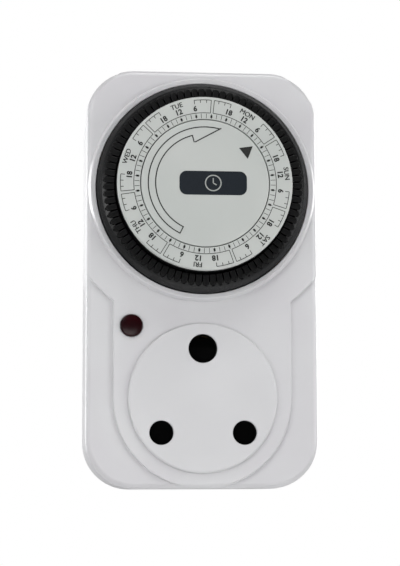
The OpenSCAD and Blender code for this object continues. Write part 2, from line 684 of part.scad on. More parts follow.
module contact_carrier() color("sienna") difference() {
    union() {
        slab([[-19.5, -17.5], [19.5, -17.5], [19.5, 6], [17.5, 11], [9.5, earth_y + 6.5],
            [-9.5, earth_y + 6.5], [-17.5, 11], [-19.5, 6]], carrier_h, carrier_top);
        box([-peg_len, window_bottom + 0.2, carrier_top - cut],
            [peg_len, peg_top, shutter_h + shutter_t]);
        for (side = [-1, 1]) translate([side * (stem_half_w + 0.9), 0, 0])
            box([-0.6, 0, carrier_top - cut], [0.6, earth_y - 6.5, shutter_h + shutter_t]);
    }
    at([0, earth_y]) disc(earth_hole_r + sleeve_wall + slide_gap, carrier_h - cut, carrier_top + cut);
    for (c = lines) at(c) disc(line_hole_r + sleeve_wall + slide_gap, carrier_h - cut, carrier_top + cut);
    for (b = carrier_posts) at(b) {
        disc(screw_hole_r, carrier_h - cut, carrier_top + cut, SMALL);
        disc(2.8, carrier_h + 4, carrier_top + cut, SMALL);
    }
}

module carrier_screws() color("silver")
    for (b = carrier_posts) at(b) screw_down(back_wall + 3, carrier_h + 5.6);

module shutter() color("dimgray") difference() {
    union() {
        box([-bar_half_w, bar_bottom, shutter_h], [bar_half_w, bar_top, shutter_h + shutter_t]);
        box([-stem_half_w, bar_top - cut, shutter_h], [stem_half_w, stem_top, shutter_h + shutter_t]);
    }
    box([-window_half_w, window_bottom, shutter_h - cut],
        [window_half_w, window_top, shutter_h + shutter_t + cut]);
    translate([0, stem_top, shutter_h + 0.3]) rotate([-30, 0, 0])
        box([-stem_half_w - cut, -8, 0], [stem_half_w + cut, 4, 4]);
}

module shutter_spring() color("silver") {
    low = peg_top + 0.2;
    length = window_top - low - 0.2;
    steps = 12;
    wire([for (i = [0:spring_turns * steps])
        [spring_r * cos(i * 360 / steps), low + length * i / (spring_turns * steps),
            shutter_h + shutter_t / 2 + spring_r * sin(i * 360 / steps)]],
        spring_wire_r, [0, 1, 0], 6);
}

module sleeve(r_in, bore_h, stub_r, stub_h) {
    difference() {
        disc(r_in + sleeve_wall, bore_h - sleeve_base_t, sleeve_top);
        disc(r_in, bore_h, sleeve_top + cut);
        box([-0.4, 0, bore_h + 4], [0.4, r_in + 2 * sleeve_wall, sleeve_top + cut]);
    }
    disc(stub_r, stub_h, bore_h - sleeve_base_t + 0.5, SMALL);
}

module earth_contact() color("goldenrod")
    at([0, earth_y]) sleeve(earth_hole_r, earth_bore_h, 3, earth_bore_h - sleeve_base_t);

module live_contact() color("goldenrod")
    at(lines[1]) sleeve(line_hole_r, line_bore_h, 2, live_out_h + strip_t);

module neutral_contact() color("goldenrod")
    at(lines[0]) sleeve(line_hole_r, line_bore_h, 2, live_in_h);

// A plug pin: it stands out of the back face, and its head sits on the inside of the back wall.
module plug_pin(r, length, head_r, head_top) {
    turned([[0, -length], [r - pin_nose, -length], [r, -length + pin_nose], [r, 0], [r - pin_step, 0],
        [r - pin_step, back_wall], [head_r, back_wall], [head_r, head_top], [0, head_top]]);
}

module earth_pin() color("gold")
    at([0, earth_y]) plug_pin(earth_pin_r, earth_pin_len, earth_pin_r + 1.4, earth_bore_h - sleeve_base_t);

module live_pin() color("gold") at(lines[1]) plug_pin(line_pin_r, line_pin_len, line_pin_r + 1.4, live_in_h);

module neutral_pin() color("gold") at(lines[0]) plug_pin(line_pin_r, line_pin_len, line_pin_r + 1.4, live_in_h);

module live_in_strip() color("goldenrod") {
    box([line_x - 2, line_y - 1.6, live_in_h], [live_in_x + live_in_w, line_y + 1.6, live_in_h + strip_t]);
    box([live_in_x, line_y - 1.6, live_in_h], [live_in_x + live_in_w, riser_y + strip_t, live_in_h + strip_t]);
    box([live_in_x, riser_y, live_in_h], [live_in_x + live_in_w, riser_y + strip_t, strip_h]);
}

module live_out_strip() color("goldenrod") {
    far_y = terminal_y + terminal_len;
    box([line_x - 2, line_y - 1.6, live_out_h], [live_out_x + live_out_w, line_y + 1.6, live_out_h + strip_t]);
    box([live_out_x, line_y - 1.6, live_out_h], [live_out_x + live_out_w, far_y + strip_t, live_out_h + strip_t]);
    box([live_out_x, far_y, live_out_h], [live_out_x + live_out_w, far_y + strip_t, leaf_top]);
}

// ---- indicator lamp and wiring ----

module lamp_board() color("olivedrab") difference() {
    box([lamp_post[0] - 3, lens_y - 4.5, board_h], [-lens_x + 4.8, lens_y + 4.5, board_h + board_t]);
    at(lamp_post) disc(1.2, board_h - cut, board_h + board_t + cut, SMALL);
}

module lamp_board_screw() color("silver")
    at(lamp_post) screw_down(bench_top - 4, board_h + board_t + 1.2, 2, 1.2, 1);

module neon_lamp() color("orange") at([-lens_x, lens_y])
    turned(concat([[0, board_h + board_t], [2, board_h + board_t], [2, panel_h - 4]],
        [for (i = [1:8]) [2 * cos(i * 90 / 8), panel_h - 4 + 2 * sin(i * 90 / 8)]]), SMALL);

module lamp_resistor() color("lightblue")
    translate([-lens_x + 3.5, lens_y, board_h + board_t + 1.1]) rotate([90, 0, 0])
        disc(1.05, -3, 3, SMALL);

module lamp_leads() color("red") {
    wire([[-21, 18.5, board_h - 0.1], [-21, 18.5, 12], [-19, 0, 11.5], [-line_x - 2.3, line_y + 1, 11.5]],
        lead_r, [0.8, 0, 0.6]);
    wire([[-18.5, 24.5, board_h - 0.4], [-16, 28, 19], [-16, 28.5, 10.5], [live_out_x - 2, 28.5, 10.5],
        [live_out_x + 1, 28.5, live_out_h + strip_t + 0.6]], lead_r, [0, 1, 0.3]);
}

module motor_leads() color("royalblue") {
    lead_h = can_h + 6;
    low_y = motor_c[1] - motor_r;
    wire([[motor_c[0], low_y - 0.3, lead_h], [motor_c[0], 36, lead_h], [-23, 24, lead_run_h],
        [-23, line_y + 1, lead_run_h], [-line_x - 2.3, line_y, lead_run_h + 1]], lead_r, [0, 0, 1]);
    wire([[motor_c[0] + 3.6, low_y + 0.1, lead_h], [motor_c[0] + 3.6, 30, lead_run_h],
        [live_in_x + 1, 26, live_in_h + strip_t + 0.6]], lead_r, [0, 0, 1]);
}

upright() front_cover();
upright() rear_housing();
upright() socket_insert();
upright() neon_lens();
upright() housing_screws();
upright() dial_ring();
upright() dial_scale();
upright() day_tappets(0);  // tappets_sunday
upright() day_tappets(1);  // tappets_monday
upright() day_tappets(2);  // tappets_tuesday
upright() day_tappets(3);  // tappets_wednesday
upright() day_tappets(4);  // tappets_thursday
upright() day_tappets(5);  // tappets_friday
upright() day_tappets(6);  // tappets_saturday
upright() centre_disc();
upright() dial_post();
upright() retaining_clip();
upright() movement_plate();
upright() movement_screws();
upright() motor_can();
upright() motor_end_plate();
upright() coil_bobbin();
upright() coil_winding();
upright() motor_rotor();
upright() rotor_shaft();
upright() motor_gearhead();
upright() motor_screws();
upright() output_pinion();
upright() idler_gear();
upright() idler_axle();
upright() clutch_wheel();
upright() clutch_spring();
upright() drive_pinion();
upright() clutch_axle();
upright() switch_base();
upright() cam_lever();
upright() lever_pin();
upright() contact_leaf();
upright() leaf_terminal();
upright() fixed_contact();
upright() override_knob();
upright() contact_carrier();
upright() carrier_screws();
upright() shutter();
upright() shutter_spring();
upright() earth_contact();
upright() live_contact();
upright() neutral_contact();
upright() earth_pin();
upright() live_pin();
upright() neutral_pin();
upright() live_in_strip();
upright() live_out_strip();
upright() lamp_board();
upright() lamp_board_screw();
upright() neon_lamp();
upright() lamp_resistor();
upright() lamp_leads();
upright() motor_leads();
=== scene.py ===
# %% [markdown]
# # A plug-in weekly timer
#
# The real object is a white moulded box that plugs into the wall. A dial with 84 black switching
# tappets turns above a socket with three round holes. This lesson starts from a packed engineering
# model, whose pieces already have their true size and place, and gives each of them its visible
# shape and finish. A designer could also model the whole thing in Blender, but then every size
# would have to be kept twice.

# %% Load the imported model
import json
import math

import bmesh
import bpy
from mathutils import Matrix, Vector


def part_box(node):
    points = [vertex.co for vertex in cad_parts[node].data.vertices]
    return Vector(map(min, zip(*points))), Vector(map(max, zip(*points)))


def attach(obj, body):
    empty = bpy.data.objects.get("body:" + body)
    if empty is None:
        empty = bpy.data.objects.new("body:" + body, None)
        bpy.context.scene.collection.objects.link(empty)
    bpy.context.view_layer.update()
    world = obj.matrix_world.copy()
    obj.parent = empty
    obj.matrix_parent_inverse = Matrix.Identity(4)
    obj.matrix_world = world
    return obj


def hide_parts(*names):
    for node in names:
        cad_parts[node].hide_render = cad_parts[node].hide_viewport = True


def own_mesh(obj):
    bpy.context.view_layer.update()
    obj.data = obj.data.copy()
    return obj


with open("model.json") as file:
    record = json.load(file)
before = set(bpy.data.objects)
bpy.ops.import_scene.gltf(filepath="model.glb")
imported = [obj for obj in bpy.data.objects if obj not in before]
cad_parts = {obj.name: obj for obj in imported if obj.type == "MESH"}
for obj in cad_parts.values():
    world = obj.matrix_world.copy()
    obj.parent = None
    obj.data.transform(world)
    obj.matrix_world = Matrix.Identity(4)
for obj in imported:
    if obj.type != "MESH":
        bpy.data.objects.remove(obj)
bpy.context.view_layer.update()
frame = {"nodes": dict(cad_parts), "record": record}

# %% [markdown]
# ## Working in drawing units
#
# Blender works in metres with Z up. A small moulding is easier to think about as its drawing shows
# it: millimetres, x to the right, y up, and the third number out of the back face towards the user.
# Each piece is built in those units, and one matrix stands it up in the scene at the end.

# %% Units and sizes read from the model
MM = 0.001
STAND_UP = Matrix.Scale(MM, 4) @ Matrix.Rotation(math.radians(90), 4, "X")


def drawn_box(node):
    """A node's lowest and highest corner in millimetres: across, up, and out towards the user."""
    low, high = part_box(node)
    return Vector((low.x, low.z, -high.y)) / MM, Vector((high.x, high.z, -low.y)) / MM


def middle(node):
    """The centre of a node's box in the drawing, as (x, y)."""
    low, high = drawn_box(node)
    return Vector(((low.x + high.x) / 2, (low.y + high.y) / 2))


def half_width(node):
    low, high = drawn_box(node)
    return (high.x - low.x) / 2


cover_low, cover_high = drawn_box("front_cover")
insert_low, insert_high = drawn_box("socket_insert")
DIAL = middle("dial_scale")
WALL = 2.2
SEAM_H = cover_low.z  # where the front cover meets the rear housing
PANEL_H = insert_high.z - 1  # the raised panel
FACE_H = PANEL_H - 1  # the lower front face
RING_R = half_width("dial_ring")
SCALE_R = half_width("dial_scale")
SCALE_H = drawn_box("dial_scale")[1].z
print("dial centre", tuple(DIAL), "ring radius", round(RING_R, 2), "panel height", PANEL_H)

# %% [markdown]
# ## Shape helpers
#
# Moulded pieces come in two families: turned ones, such as the dial and the lens, and boxes with
# rounded corners. Both start small and let an operator do the work: `spin` turns a half profile, and
# `bevel` rounds the corners of a cube. No moulded edge is really sharp, so a profile is written as
# corners with a rounding, and `softened` turns each corner into a short arc.


# %% Profiles, turned shapes and rounded blocks
def softened(corners, steps=5):
    """Turns corners (radius, height, rounding) into points, with an arc at each rounded corner."""
    points = []
    for i, (r, h, rounding) in enumerate(corners):
        here = Vector((r, h))
        if not rounding:
            points.append(here)
            continue
        before = (Vector(corners[i - 1][:2]) - here).normalized()
        after = (Vector(corners[(i + 1) % len(corners)][:2]) - here).normalized()
        half = before.angle(after) / 2
        centre = here + (before + after).normalized() * rounding / math.sin(half)
        start = here + before * rounding / math.tan(half) - centre
        sweep = start.angle_signed(here + after * rounding / math.tan(half) - centre)
        for k in range(steps + 1):
            points.append(centre + Matrix.Rotation(-sweep * k / steps, 2) @ start)
    return points


def turned(points, centre=(0, 0), steps=96, closed=False):
    """Spins a profile about an axis that points out of the front. A closed profile makes a ring."""
    shape = bmesh.new()
    verts = [shape.verts.new((p[0], 0, p[1])) for p in points]
    edges = [shape.edges.new(pair) for pair in zip(verts, verts[1:])]
    if closed:
        edges.append(shape.edges.new((verts[-1], verts[0])))
    bmesh.ops.spin(shape, geom=verts + edges, cent=(0, 0, 0), axis=(0, 0, 1),
                   angle=math.tau, steps=steps, use_merge=True)
    bmesh.ops.remove_doubles(shape, verts=shape.verts, dist=1e-4)
    bmesh.ops.recalc_face_normals(shape, faces=shape.faces)
    bmesh.ops.translate(shape, vec=(centre[0], centre[1], 0), verts=shape.verts)
    return shape


def disc(radius, low, high, centre=(0, 0), steps=96):
    return turned([(0, low), (radius, low), (radius, high), (0, high)], centre, steps)


def round_edges(shape, edges, radius, steps):
    bmesh.ops.bevel(shape, geom=edges, offset=radius, segments=steps, profile=0.5,
                    affect="EDGES", material=-1)


def level_edges(shape, height):
    """The edges that lie at one height."""
    return [e for e in shape.edges if all(abs(v.co.z - height) < 0.01 for v in e.verts)]


def block(low, high):
    """A box between two corners."""
    shape = bmesh.new()
    low, high = Vector(low), Vector(high)
    bmesh.ops.create_cube(shape, size=1)
    bmesh.ops.scale(shape, vec=high - low, verts=shape.verts)
    bmesh.ops.translate(shape, vec=(high + low) / 2, verts=shape.verts)
    return shape


def rounded_block(low, high, top_r, bottom_r, front_r=0, back_r=0, steps=12):
    """A box with rounded corners as seen from the front, and soft front and back edges."""
    shape = block(low, high)
    for level, radius in ((high[1], top_r), (low[1], bottom_r)):
        corners = [e for e in shape.edges
                   if all(abs(v.co.y - level) < 0.01 for v in e.verts)
                   and abs(e.verts[0].co.z - e.verts[1].co.z) > 0.01]
        if radius:
            round_edges(shape, corners, radius, steps)
    if front_r:
        round_edges(shape, level_edges(shape, high[2]), front_r, 5)
    if back_r:
        round_edges(shape, level_edges(shape, low[2]), back_r, 3)
    return shape


def gathered(shapes):
    """Several separate shapes as one."""
    whole = bmesh.new()
    for shape in shapes:
        part = bpy.data.meshes.new("part")
        shape.to_mesh(part)
        whole.from_mesh(part)
        shape.free()
        bpy.data.meshes.remove(part)
    return whole


def combine(how, body, tool):
    """Boolean of two shapes: UNION, DIFFERENCE or INTERSECT."""
    objects = []
    for shape in (body, tool):
        mesh = bpy.data.meshes.new("boolean")
        bmesh.ops.recalc_face_normals(shape, faces=shape.faces)
        shape.to_mesh(mesh)
        shape.free()
        objects.append(bpy.data.objects.new("boolean", mesh))
        bpy.context.scene.collection.objects.link(objects[-1])
    step = objects[0].modifiers.new("boolean", "BOOLEAN")
    step.operation = how
    step.solver = "EXACT"
    step.object = objects[1]
    done = objects[0].evaluated_get(bpy.context.evaluated_depsgraph_get())
    result = bmesh.new()
    result.from_mesh(done.to_mesh())
    for made in objects:
        mesh = made.data
        bpy.data.objects.remove(made)
        bpy.data.meshes.remove(mesh)
    bmesh.ops.remove_doubles(result, verts=result.verts, dist=1e-4)
    loose = sum(len(e.link_faces) != 2 for e in result.edges)
    if loose:
        print(f"{how.lower()} left {loose} open edges")
    return result


def node_copy(node):
    """A merged copy of a node's mesh, in drawing units. The node itself stays untouched."""
    shape = bmesh.new()
    shape.from_mesh(frame["nodes"][node].data)
    shape.transform(STAND_UP.inverted())
    bmesh.ops.remove_doubles(shape, verts=shape.verts, dist=1e-4)
    bmesh.ops.dissolve_limit(shape, angle_limit=math.radians(0.5), verts=shape.verts, edges=shape.edges)
    return shape


# %% [markdown]
# ## Finishing a piece
#
# A finished piece is one object at the world's origin, with its place in its mesh. It rides on the
# engineering body it belongs to, is given the finish it stands for, and hides the plain node it
# replaces. Smooth shading with edges marked sharp by their angle keeps flat faces flat, and the
# weighted normals stop a large flat face from shading towards its small rounded edge.


# %% Turn a shape into a piece of the object
def finish_piece(shape, name, body, finish, stands_for=(), sharp=38):
    bmesh.ops.recalc_face_normals(shape, faces=shape.faces)
    mesh = bpy.data.meshes.new(name)
    shape.to_mesh(mesh)
    shape.free()
    mesh.transform(STAND_UP)
    mesh.shade_smooth()
    mesh.set_sharp_from_angle(angle=math.radians(sharp))
    mesh.materials.append(finishes[finish])
    piece = bpy.data.objects.new(name, mesh)
    bpy.context.scene.collection.objects.link(piece)
    even = piece.modifiers.new("even shading", "WEIGHTED_NORMAL")
    even.keep_sharp = True
    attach(piece, body)
    if stands_for:
        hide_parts(*stands_for)
    print(f"{name}: {len(mesh.polygons)} faces")
    return piece


# %% [markdown]
# ## Finishes
#
# Each material is named for what the real piece is made of. Colours are written as sRGB hex values,
# as a swatch book gives them, and turned to linear light by one function. Patterns read Object
# coordinates, so they keep their real size: a noise of scale 1000 has features about one millimetre
# across. Image textures could give the same look, but a node pattern stays sharp at any distance.


# %% Colour, node and pattern helpers
def linear(code):
    """An sRGB hex colour such as "#cbcdcc" as linear RGBA."""
    channels = [int(code[i:i + 2], 16) / 255 for i in (1, 3, 5)]
    return [c / 12.92 if c <= 0.04045 else ((c + 0.055) / 1.055) ** 2.4 for c in channels] + [1]


def add_node(material, kind, inputs=None, **settings):
    """Adds a node. inputs maps a socket to a value, or to the output socket that feeds it."""
    tree = material.node_tree
    node = tree.nodes.new(kind)
    for key, value in settings.items():
        setattr(node, key, value)
    for socket, value in (inputs or {}).items():
        if isinstance(value, bpy.types.NodeSocket):
            tree.links.new(value, node.inputs[socket])
        else:
            node.inputs[socket].default_value = value
    return node


def new_finish(name, roughness, metallic=0.0, ior=1.5, **sockets):
    """A material with a Principled shader. Returns the material and its shader."""
    material = bpy.data.materials.new(name)
    material.use_nodes = True
    shader = material.node_tree.nodes["Principled BSDF"]
    shader.inputs["Roughness"].default_value = roughness
    shader.inputs["Metallic"].default_value = metallic
    if not metallic:
        shader.inputs["IOR"].default_value = ior
    for socket, value in sockets.items():
        shader.inputs[socket.replace("_", " ")].default_value = value
    return material, shader


def grain(material, size_mm, stretch=(1, 1, 1), detail=3.0):
    """Noise whose features are about size_mm across, drawn out along the axes with a small stretch."""
    place = add_node(material, "ShaderNodeTexCoord")
    drawn = add_node(material, "ShaderNodeMapping",
                     {"Vector": place.outputs["Object"], "Scale": stretch})
    return add_node(material, "ShaderNodeTexNoise",
                    {"Vector": drawn.outputs["Vector"], "Scale": 1 / (size_mm * MM), "Detail": detail})


def tint(material, shader, pattern, dark, light, low=0.35, high=0.65):
    """Lets a pattern move the colour between two close tones."""
    ramp = add_node(material, "ShaderNodeValToRGB", {"Fac": pattern})
    ramp.color_ramp.elements[0].position = low
    ramp.color_ramp.elements[1].position = high
    ramp.color_ramp.elements[0].color = linear(dark)
    ramp.color_ramp.elements[1].color = linear(light)
    material.node_tree.links.new(ramp.outputs["Color"], shader.inputs["Base Color"])


def emboss(material, shader, pattern, depth_mm, strength=1.0):
    """Lets a pattern raise and lower the surface by depth_mm."""
    bump = add_node(material, "ShaderNodeBump",
                    {"Height": pattern, "Distance": depth_mm * MM, "Strength": strength})
    material.node_tree.links.new(bump.outputs["Normal"], shader.inputs["Normal"])


def vary_gloss(material, shader, pattern, low, high):
    """Lets a pattern move the roughness between two values."""
    spread = add_node(material, "ShaderNodeMapRange", {"Value": pattern, "From Min": 0.3, "From Max": 0.7,
                                                      "To Min": low, "To Max": high})
    material.node_tree.links.new(spread.outputs["Result"], shader.inputs["Roughness"])


# %% [markdown]
# ### Plastics
#
# The housing is injection-moulded ABS from a lightly textured tool: satin, with a soft highlight
# along its edges and the faintest drift of tone. The dial is black ABS, a little glossier, and the
# tappets and gears are acetal, a slippery plastic that looks waxy. The lens is clear red
# polycarbonate: almost black when its lamp is off, because light has to pass it twice.


# %% Moulded plastics
def moulded(name, dark, light, gloss, grain_mm=0.5, depth_mm=0.004, ior=1.54, **sockets):
    """A moulded plastic: slight drift of tone, fine tool texture, slightly uneven gloss."""
    material, shader = new_finish(name, gloss, ior=ior, **sockets)
    drift = grain(material, 22, detail=1.0)
    fine = grain(material, grain_mm)
    tint(material, shader, drift.outputs["Fac"], dark, light)
    vary_gloss(material, shader, fine.outputs["Fac"], gloss - 0.04, gloss + 0.05)
    emboss(material, shader, fine.outputs["Fac"], depth_mm)
    return material


finishes = {
    "white_abs": moulded("satin white ABS", "#cfced1", "#d3d3d5", 0.32),
    "socket_face": moulded("satin white ABS, socket face", "#d0d0d2", "#d4d4d6", 0.32),
    "scale_white": moulded("matt printed scale plate", "#babebb", "#bfc2bf", 0.5, 0.3, 0.002),
    "black_abs": moulded("satin black ABS", "#0b0c0d", "#101112", 0.3, 0.4, 0.006,
                         Specular_IOR_Level=0.4),
    # The tappets' black is set darker than the ring's black ABS. The black is their own, and the extra
    # darkness is painted shade from the ring's recess.
    "tappet_black": moulded("black acetal darkened with painted shade", "#070808", "#0b0b0c", 0.45, 0.3, 0.004, ior=1.48,
                            Specular_IOR_Level=0.25),
    "shutter_black": moulded("black nylon", "#060607", "#090a0a", 0.8, 0.4, 0.006,
                             Specular_IOR_Level=0.15),
    "knob_grey": moulded("dark grey acetal", "#3d4043", "#45484b", 0.42, 0.3, 0.006),
    "acetal": moulded("natural acetal", "#e3dfd2", "#eae6da", 0.38, 0.6, 0.004,
                      Subsurface_Weight=0.25, Subsurface_Scale=0.002),
    "plate_tan": moulded("glass-filled nylon plate", "#a8916c", "#b59d78", 0.55, 0.35, 0.012),
    "bobbin": moulded("ivory nylon", "#d8d0b8", "#e0d9c4", 0.45, 0.4, 0.006,
                      Subsurface_Weight=0.15, Subsurface_Scale=0.002),
    "wire_red": moulded("red PVC insulation", "#8e1712", "#a01d17", 0.42, 0.6, 0.006),
    "wire_blue": moulded("blue PVC insulation", "#143a72", "#1a4686", 0.42, 0.6, 0.006),
}

lens, lens_shader = new_finish("clear red polycarbonate", 0.2, ior=1.58, Transmission_Weight=0.2,
                               Specular_IOR_Level=0.15)
lens_depth = grain(lens, 3.0, detail=1.0)
tint(lens, lens_shader, lens_depth.outputs["Fac"], "#1f0206", "#2a0308")
finishes["neon_red"] = lens
print(len(finishes), "plastics")

# %% [markdown]
# ### Printing inks
#
# The scale is printed with black ink, which is matt and slightly uneven where the pad has pressed
# it. The badge on the centre disc is a plain slate label with a clock sign in grey.

# %% Inks
for ink_name, ink_dark, ink_light, ink_gloss in (
        ("ink_black", "#141513", "#232421", 0.55),
        ("ink_grey", "#9da19e", "#a5a9a6", 0.5),
        ("badge_slate", "#1b2026", "#20262d", 0.3)):
    ink, ink_shader = new_finish(ink_name.replace("_", " ") + " print", ink_gloss)
    ink_spread = grain(ink, 0.25)
    tint(ink, ink_shader, ink_spread.outputs["Fac"], ink_dark, ink_light)
    finishes[ink_name] = ink

print("inks ready")

# %% [markdown]
# ### Metals
#
# A metal's colour is the colour of its reflection, so its base colour is bright and its metallic
# value is 1. What tells one metal piece from another is how it was worked: a turned pin has fine
# rings along its length, rolled strip has lines one way, and zinc plating has a cloudy passivation.
# The rings are made by squeezing the noise along one axis: the pins and axles lie along Y.


# %% Worked metals
def worked_metal(name, dark, light, gloss, size_mm, stretch, depth_mm=0.003):
    """A metal whose tool marks are a noise, drawn out along the way the tool went."""
    material, shader = new_finish(name, gloss, metallic=1.0)
    marks = grain(material, size_mm, stretch)
    tint(material, shader, marks.outputs["Fac"], dark, light)
    vary_gloss(material, shader, marks.outputs["Fac"], gloss - 0.06, gloss + 0.1)
    emboss(material, shader, marks.outputs["Fac"], depth_mm)
    return material


TURNED = (0.05, 1, 0.05)  # rings around a piece that lies along Y
ROLLED = (1, 1, 0.04)  # lines along Z
CLOUDY = (1, 1, 1)
finishes.update({
    "brass_pin": worked_metal("turned brass", "#d0b06a", "#d9bc78", 0.24, 0.35, TURNED, 0.0004),
    "brass_strip": worked_metal("rolled brass", "#c4a052", "#d6b468", 0.32, 0.4, ROLLED),
    # The sleeves' brass is darkened: painted shade for the inside of the socket's holes.
    "brass_sleeve": worked_metal("dark brass with painted hole shade", "#2e2618", "#3b3120", 0.55, 0.4, CLOUDY),
    "steel_zinc": worked_metal("zinc-plated steel", "#b3b5b8", "#c9cbcd", 0.34, 1.2, CLOUDY),
    "spring_steel": worked_metal("spring steel", "#8d8f93", "#a3a5a8", 0.28, 0.4, TURNED),
    "axle_steel": worked_metal("ground steel", "#b5b7ba", "#c5c7ca", 0.2, 0.25, TURNED),
    "motor_steel": worked_metal("drawn tin-plated steel", "#a6a9ad", "#bcbfc2", 0.36, 0.8, TURNED),
    "copper_wire": worked_metal("enamelled copper", "#9c4f24", "#c46d38", 0.3, 0.3, TURNED, 0.03),
})
print("metals ready")

# %% [markdown]
# ### Fillers, board and glass
#
# Phenolic is filled with wood flour and shows as fine specks. A ferrite magnet is a sintered black
# ceramic. The lamp board is woven glass and resin, the neon lamp is clear glass, and the resistor's
# lacquered body is smooth.


# %% Speckled and glassy materials
def speckled(name, dark, light, gloss, speck_mm, depth_mm):
    """A filled resin or ceramic: small specks and a dull, slightly rough skin."""
    material, shader = new_finish(name, gloss, ior=1.6)
    place = add_node(material, "ShaderNodeTexCoord")
    specks = add_node(material, "ShaderNodeTexVoronoi",
                      {"Vector": place.outputs["Object"], "Scale": 1 / (speck_mm * MM)})
    tint(material, shader, specks.outputs["Distance"], dark, light, 0.1, 0.6)
    emboss(material, shader, specks.outputs["Distance"], depth_mm)
    return material


finishes["phenolic"] = speckled("wood-filled phenolic", "#3a2215", "#5a3722", 0.5, 0.5, 0.006)
finishes["magnet"] = speckled("sintered ferrite", "#1c1d20", "#2b2c30", 0.6, 0.4, 0.01)
finishes["board"] = speckled("glass-epoxy board", "#4b5a2c", "#5f6f3a", 0.4, 0.7, 0.008)
finishes["resistor"] = speckled("lacquered ceramic", "#7fa3b8", "#8db1c6", 0.3, 0.8, 0.003)
glass, glass_shader = new_finish("lamp glass", 0.03, ior=1.5, Transmission_Weight=0.9)
glass_film = grain(glass, 2.0, detail=1.0)
tint(glass, glass_shader, glass_film.outputs["Fac"], "#f0e4da", "#f6ece4")
finishes["lamp_glass"] = glass
print(len(finishes), "finishes in all")

# %% [markdown]
# ## Inner pieces
#
# The motor, gears, switch, contacts and wiring are right as they are: nobody sees their edges until
# the housing is opened. They keep their engineering meshes and only get their finish, which the
# record gives by name for each node. Only the three contact sleeves, which can be seen through the
# socket's holes, get a darker brass than the strips: painted shade, which keeps them dark deep in the holes.

# %% Give each engineering node its finish
for part in frame["record"]["subparts"]:
    node_mesh = frame["nodes"][part["node"]].data
    node_mesh.materials.clear()
    node_mesh.materials.append(finishes[part["material_slot"]])
# The sleeves get the darkened brass, which is painted shade for the holes they sit in.
for contact in ("earth_contact", "live_contact", "neutral_contact"):
    frame["nodes"][contact].data.materials[0] = finishes["brass_sleeve"]

# %% [markdown]
# ## Front cover
#
# On the real timer this is one moulding: a rounded box with a panel one millimetre higher around the
# dial and the socket, and a collar around the dial's opening. It could be drawn as one surface, but
# a mould maker adds and removes simple volumes, and so does this: two rounded blocks, of which the
# higher one is kept only inside the panel's outline. The hollow is cut out of them, the collar and
# the screw bosses are added, and the openings come last.

# %% Outer block and raised panel
CORNER_TOP = 14.5
CORNER_BOTTOM = 15
EDGE_R = 1.8
SEAM_R = 0.25
PANEL_R = 44.5  # the panel's outline around the dial
PANEL_HALF = 27.45  # its half width beside the socket, and its radius below it
STEP_R = 0.6
SUNK = 2  # how far a volume starts inside the one it joins


def housing_block(top, edge_r):
    """The housing's rounded outline from the seam up to a height."""
    return rounded_block(cover_low, (cover_high.x, cover_high.y, top),
                         CORNER_TOP, CORNER_BOTTOM, edge_r, SEAM_R)


panel = combine("UNION", disc(PANEL_R, FACE_H - SUNK, PANEL_H, DIAL, 160),
                block((-PANEL_HALF, 0, FACE_H - SUNK), (PANEL_HALF, DIAL.y, PANEL_H)))
panel = combine("UNION", panel, disc(PANEL_HALF, FACE_H - SUNK, PANEL_H, (0, 0), 128))
bmesh.ops.dissolve_limit(panel, angle_limit=math.radians(0.5), verts=panel.verts, edges=panel.edges)
panel_rim = [e for e in level_edges(panel, PANEL_H) if len(e.link_faces) == 2
             and e.calc_face_angle() > 1]
round_edges(panel, panel_rim, STEP_R, 3)
raised = combine("INTERSECT", housing_block(PANEL_H, EDGE_R), panel)
cover = combine("UNION", housing_block(FACE_H, EDGE_R), raised)
print("cover block:", len(cover.faces), "faces")

# %% [markdown]
# The collar is turned: it dishes in towards the dial from a rounded crest. The cutters for the round
# holes are turned too, and each one flares a little at its mouth, so that the hole it leaves has a
# soft edge. The knob's window is a plain block.

# %% Collar, bosses and openings
GAP = 0.3
HOLE_R = RING_R + GAP
COLLAR_TOP = cover_high.z
COLLAR_W = 2.2
COLLAR_DISH = 0.75
INSERT_FLANGE = 1.7
INSERT_R = half_width("socket_insert") - INSERT_FLANGE
LENS_FLANGE = 0.9
LENS_R = half_width("neon_lens") - LENS_FLANGE
BOSS_R = 3.2
BOSS_BORE_R = 1.35
SCREW_HEAD_R = 2.4
LENS = middle("neon_lens")
screws_low, screws_high = drawn_box("housing_screws")
BOSSES = [(x, y) for x in (screws_low.x + SCREW_HEAD_R, screws_high.x - SCREW_HEAD_R)
          for y in (screws_low.y + SCREW_HEAD_R, screws_high.y - SCREW_HEAD_R)]


def opening(radius, top, flare, centre, steps=96, low=SEAM_H + 4, lip=0.0, relief=0.0):
    """A cutter for a round hole whose mouth is rounded by flare, and which widens below its lip."""
    mouth = [(radius + flare * (1 - math.cos(a * math.pi / 10)),
              top - flare * (1 - math.sin(a * math.pi / 10))) for a in range(6)]
    bore = [(radius, low)]
    if relief:
        bore = [(radius + relief, low), (radius + relief, top - lip), (radius, top - lip)]
    return turned([(0, low), *bore, *mouth, (radius + flare, top + 2), (0, top + 2)], centre, steps)


face_in = FACE_H - WALL
COLLAR_FOOT = face_in + 0.9
collar = turned(softened([(HOLE_R - 1, COLLAR_FOOT, 0), (HOLE_R + COLLAR_W, COLLAR_FOOT, 0),
                          (HOLE_R + COLLAR_W, PANEL_H + 0.2, 0.15), (HOLE_R + 1.5, COLLAR_TOP, 0.4),
                          (HOLE_R - 1, COLLAR_TOP - COLLAR_DISH, 0)]), DIAL, 160, closed=True)
hollow = rounded_block((cover_low.x + WALL, cover_low.y + WALL, SEAM_H - 1),
                       (cover_high.x - WALL, cover_high.y - WALL, face_in),
                       CORNER_TOP - WALL, CORNER_BOTTOM - WALL)
cover = combine("DIFFERENCE", cover, hollow)
cover = combine("UNION", cover, collar)
bosses = [disc(BOSS_R, SEAM_H + 0.02, face_in + 0.5, b, 32) for b in BOSSES]
cover = combine("UNION", cover, gathered(bosses))
knob_low, knob_high = drawn_box("override_knob")
